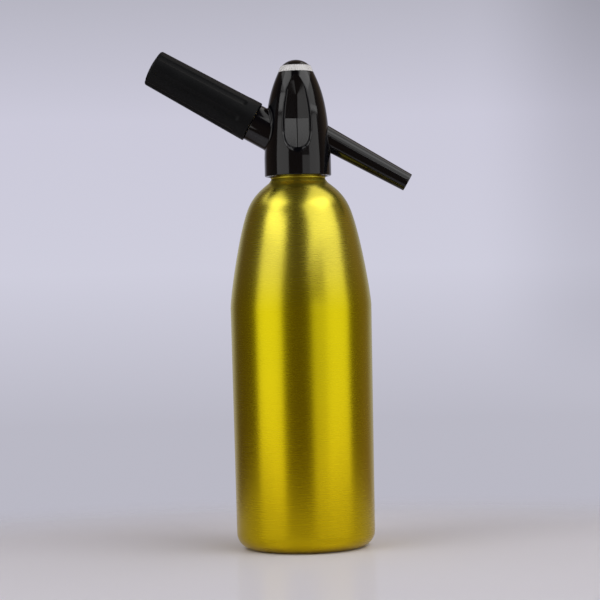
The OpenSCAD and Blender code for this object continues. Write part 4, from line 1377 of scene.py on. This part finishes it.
@dataclass
class Studio:
    """The camera, the lamps, the floor and the pale space behind it."""

    camera_place: tuple[float, float, float] = (-0.00055, -1.2, 0.158)
    camera_roll: float = 1.3
    lens: float = 112.32
    sensor: float = 36.0
    pale_stops: tuple[tuple[float, Colour], ...] = (
        (0.0, (0.485, 0.48, 0.55)), (0.30, (0.49, 0.485, 0.56)), (0.55, (0.62, 0.615, 0.72)),
        (0.80, (0.60, 0.59, 0.70)), (1.0, (0.47, 0.465, 0.54)),
    )
    room: Colour = (0.110, 0.078, 0.050)
    room_above: Colour = (0.030, 0.021, 0.015)
    room_left: Colour = (0.11, 0.08, 0.06)
    room_right: Colour = (0.22, 0.16, 0.11)
    floor_colour: Colour = (0.80, 0.785, 0.86)
    floor_reach: float = 1.2
    floor_middle: float = 0.30
    floor_fade: Span = (0.40, 0.62)
    front_fade: Span = (0.23, 0.33)

    def camera(self) -> None:
        """Sets up the camera where the photograph was taken from."""
        data = bpy.data.cameras.new("camera")
        data.lens, data.sensor_width = self.lens, self.sensor
        made = bpy.data.objects.new("camera", data)
        made.location = self.camera_place
        made.rotation_euler = (math.radians(90), math.radians(self.camera_roll), 0)
        bpy.context.scene.collection.objects.link(made)
        bpy.context.scene.camera = made

    def backdrop(self) -> None:
        """Makes the world: the pale space behind the object, and the dim room round the camera.

        The camera sees the pale space on all sides. Gloss and glass see it behind the object only.
        """
        world = bpy.data.worlds.new("studio")
        bpy.context.scene.world = world
        world.use_nodes = True
        graph = Graph(world.node_tree)
        way = graph.node("ShaderNodeTexCoord", {}, {}).outputs["Generated"]
        split = graph.node("ShaderNodeSeparateXYZ", {}, {0: way})
        aside = Signal(graph, split.outputs["X"])
        up = Signal(graph, split.outputs["Z"])
        deep = Signal(graph, split.outputs["Y"])
        seen = graph.node("ShaderNodeValToRGB", {"stops": self.pale_stops}, {0: up * 3.1 + 0.5})
        light = graph.node("ShaderNodeLightPath", {}, {})
        # The pale space gets a little darker towards the photograph's right edge.
        shade = aside.eased(0.09, 0.165) * (up.eased(0.0, 0.22) * 0.16 + up.eased(-0.06, 0.0) * 0.16)
        pale = graph.colours(shade, seen.outputs[0], (0.0, 0.0, 0.0))
        front = graph.colours(up.eased(-0.1, 0.7), self.room, self.room_above)
        sides = graph.colours(aside.eased(-0.5, 0.5), self.room_left, self.room_right)
        walls = graph.colours(deep.eased(-0.2, 0.6), front, sides)
        dim = graph.colours(deep.eased(0.65, 0.98), walls, pale)
        shown = graph.colours(Signal(graph, light.outputs["Is Camera Ray"]), dim, pale)
        back = graph.node("ShaderNodeBackground", {}, {"Color": shown, "Strength": 1.0})
        graph.node("ShaderNodeOutputWorld", {}, {"Surface": back.outputs[0]})

    def floor(self) -> None:
        """Lays the pale floor, which fades into the pale space behind the object and in front of it."""
        mesh = bpy.data.meshes.new("floor")
        reach = self.floor_reach
        corners = [(-reach, -reach, 0), (reach, -reach, 0), (reach, reach, 0), (-reach, reach, 0)]
        mesh.from_pydata(corners, [], [(0, 1, 2, 3)])
        made = bpy.data.objects.new("floor", mesh)
        bpy.context.scene.collection.objects.link(made)
        material = bpy.data.materials.new("pale_floor")
        material.use_nodes = True
        graph = Graph(material.node_tree)
        middle = (0, self.floor_middle, 0)
        where = graph.node("ShaderNodeVectorMath", {"operation": "ADD"}, {0: graph.place(), 1: middle})
        away = graph.node("ShaderNodeVectorMath", {"operation": "LENGTH"}, {0: where.outputs[0]})
        split = graph.node("ShaderNodeSeparateXYZ", {}, {0: graph.place()})
        front = 0.0 - Signal(graph, split.outputs["Y"])
        fade = Signal(graph, away.outputs["Value"]).eased(*self.floor_fade) + front.eased(*self.front_fade)
        matt = graph.node("ShaderNodeBsdfDiffuse", {}, {"Color": self.floor_colour})
        shine = graph.node("ShaderNodeBsdfGlossy", {}, {"Color": (0.9, 0.9, 0.9), "Roughness": 0.12})
        laid = graph.node("ShaderNodeMixShader", {}, {0: 0.08, 1: matt.outputs[0], 2: shine.outputs[0]})
        clear = graph.node("ShaderNodeBsdfTransparent", {}, {})
        mixed = graph.node("ShaderNodeMixShader", {}, {0: fade, 1: laid.outputs[0], 2: clear.outputs[0]})
        graph.node("ShaderNodeOutputMaterial", {}, {"Surface": mixed.outputs[0]})
        mesh.materials.append(material)

    def lamps(self) -> None:
        """Hangs the softboxes on both sides, and the two canopies over them."""
        lamps = [
            Softbox("left_low", (-31, -76), (-22, 17.5), 1.15),
            Softbox("left_middle", (-28, -77), (19.7, 33), 2.15),
            Softbox("left_high", (-40, -84), (33, 56), 1.15),
            Softbox("right_low", (41, 81), (-22, 17.5), 1.1),
            Softbox("right_edge", (16, 41), (-22, 8), 0.75),
            Softbox("right_middle", (14, 88), (19.7, 23.5), 2.3),
            Softbox("right_high", (17, 90), (23.5, 56), 1.4),
            Canopy("left_top", (-1.30, -0.44), (-0.75, 0.75), 1.30, 1.0),
            Canopy("right_top", (0.30, 1.30), (-0.75, 0.75), 1.30, 1.10),
        ]
        for lamp in lamps:
            lamp.build()

    def build(self) -> None:
        """Builds the studio."""
        self.backdrop()
        self.floor()
        self.lamps()


def main() -> None:
    """Builds the studio and the siphon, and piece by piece."""
    logging.basicConfig(level=logging.INFO, format="%(name)s: %(message)s")
    scene = bpy.context.scene
    scene.view_settings.view_transform = "Standard"
    studio = Studio()
    studio.camera()
    studio.build()
    nozzle = Nozzle()
    Bottle().build()
    HeadShell().build(nozzle)
    nozzle.build()
    RingNut().build()
    PushButton().build()
    ChargerHolder().build()
    InnerWorks().build()


if __name__ == "__main__":
    main()
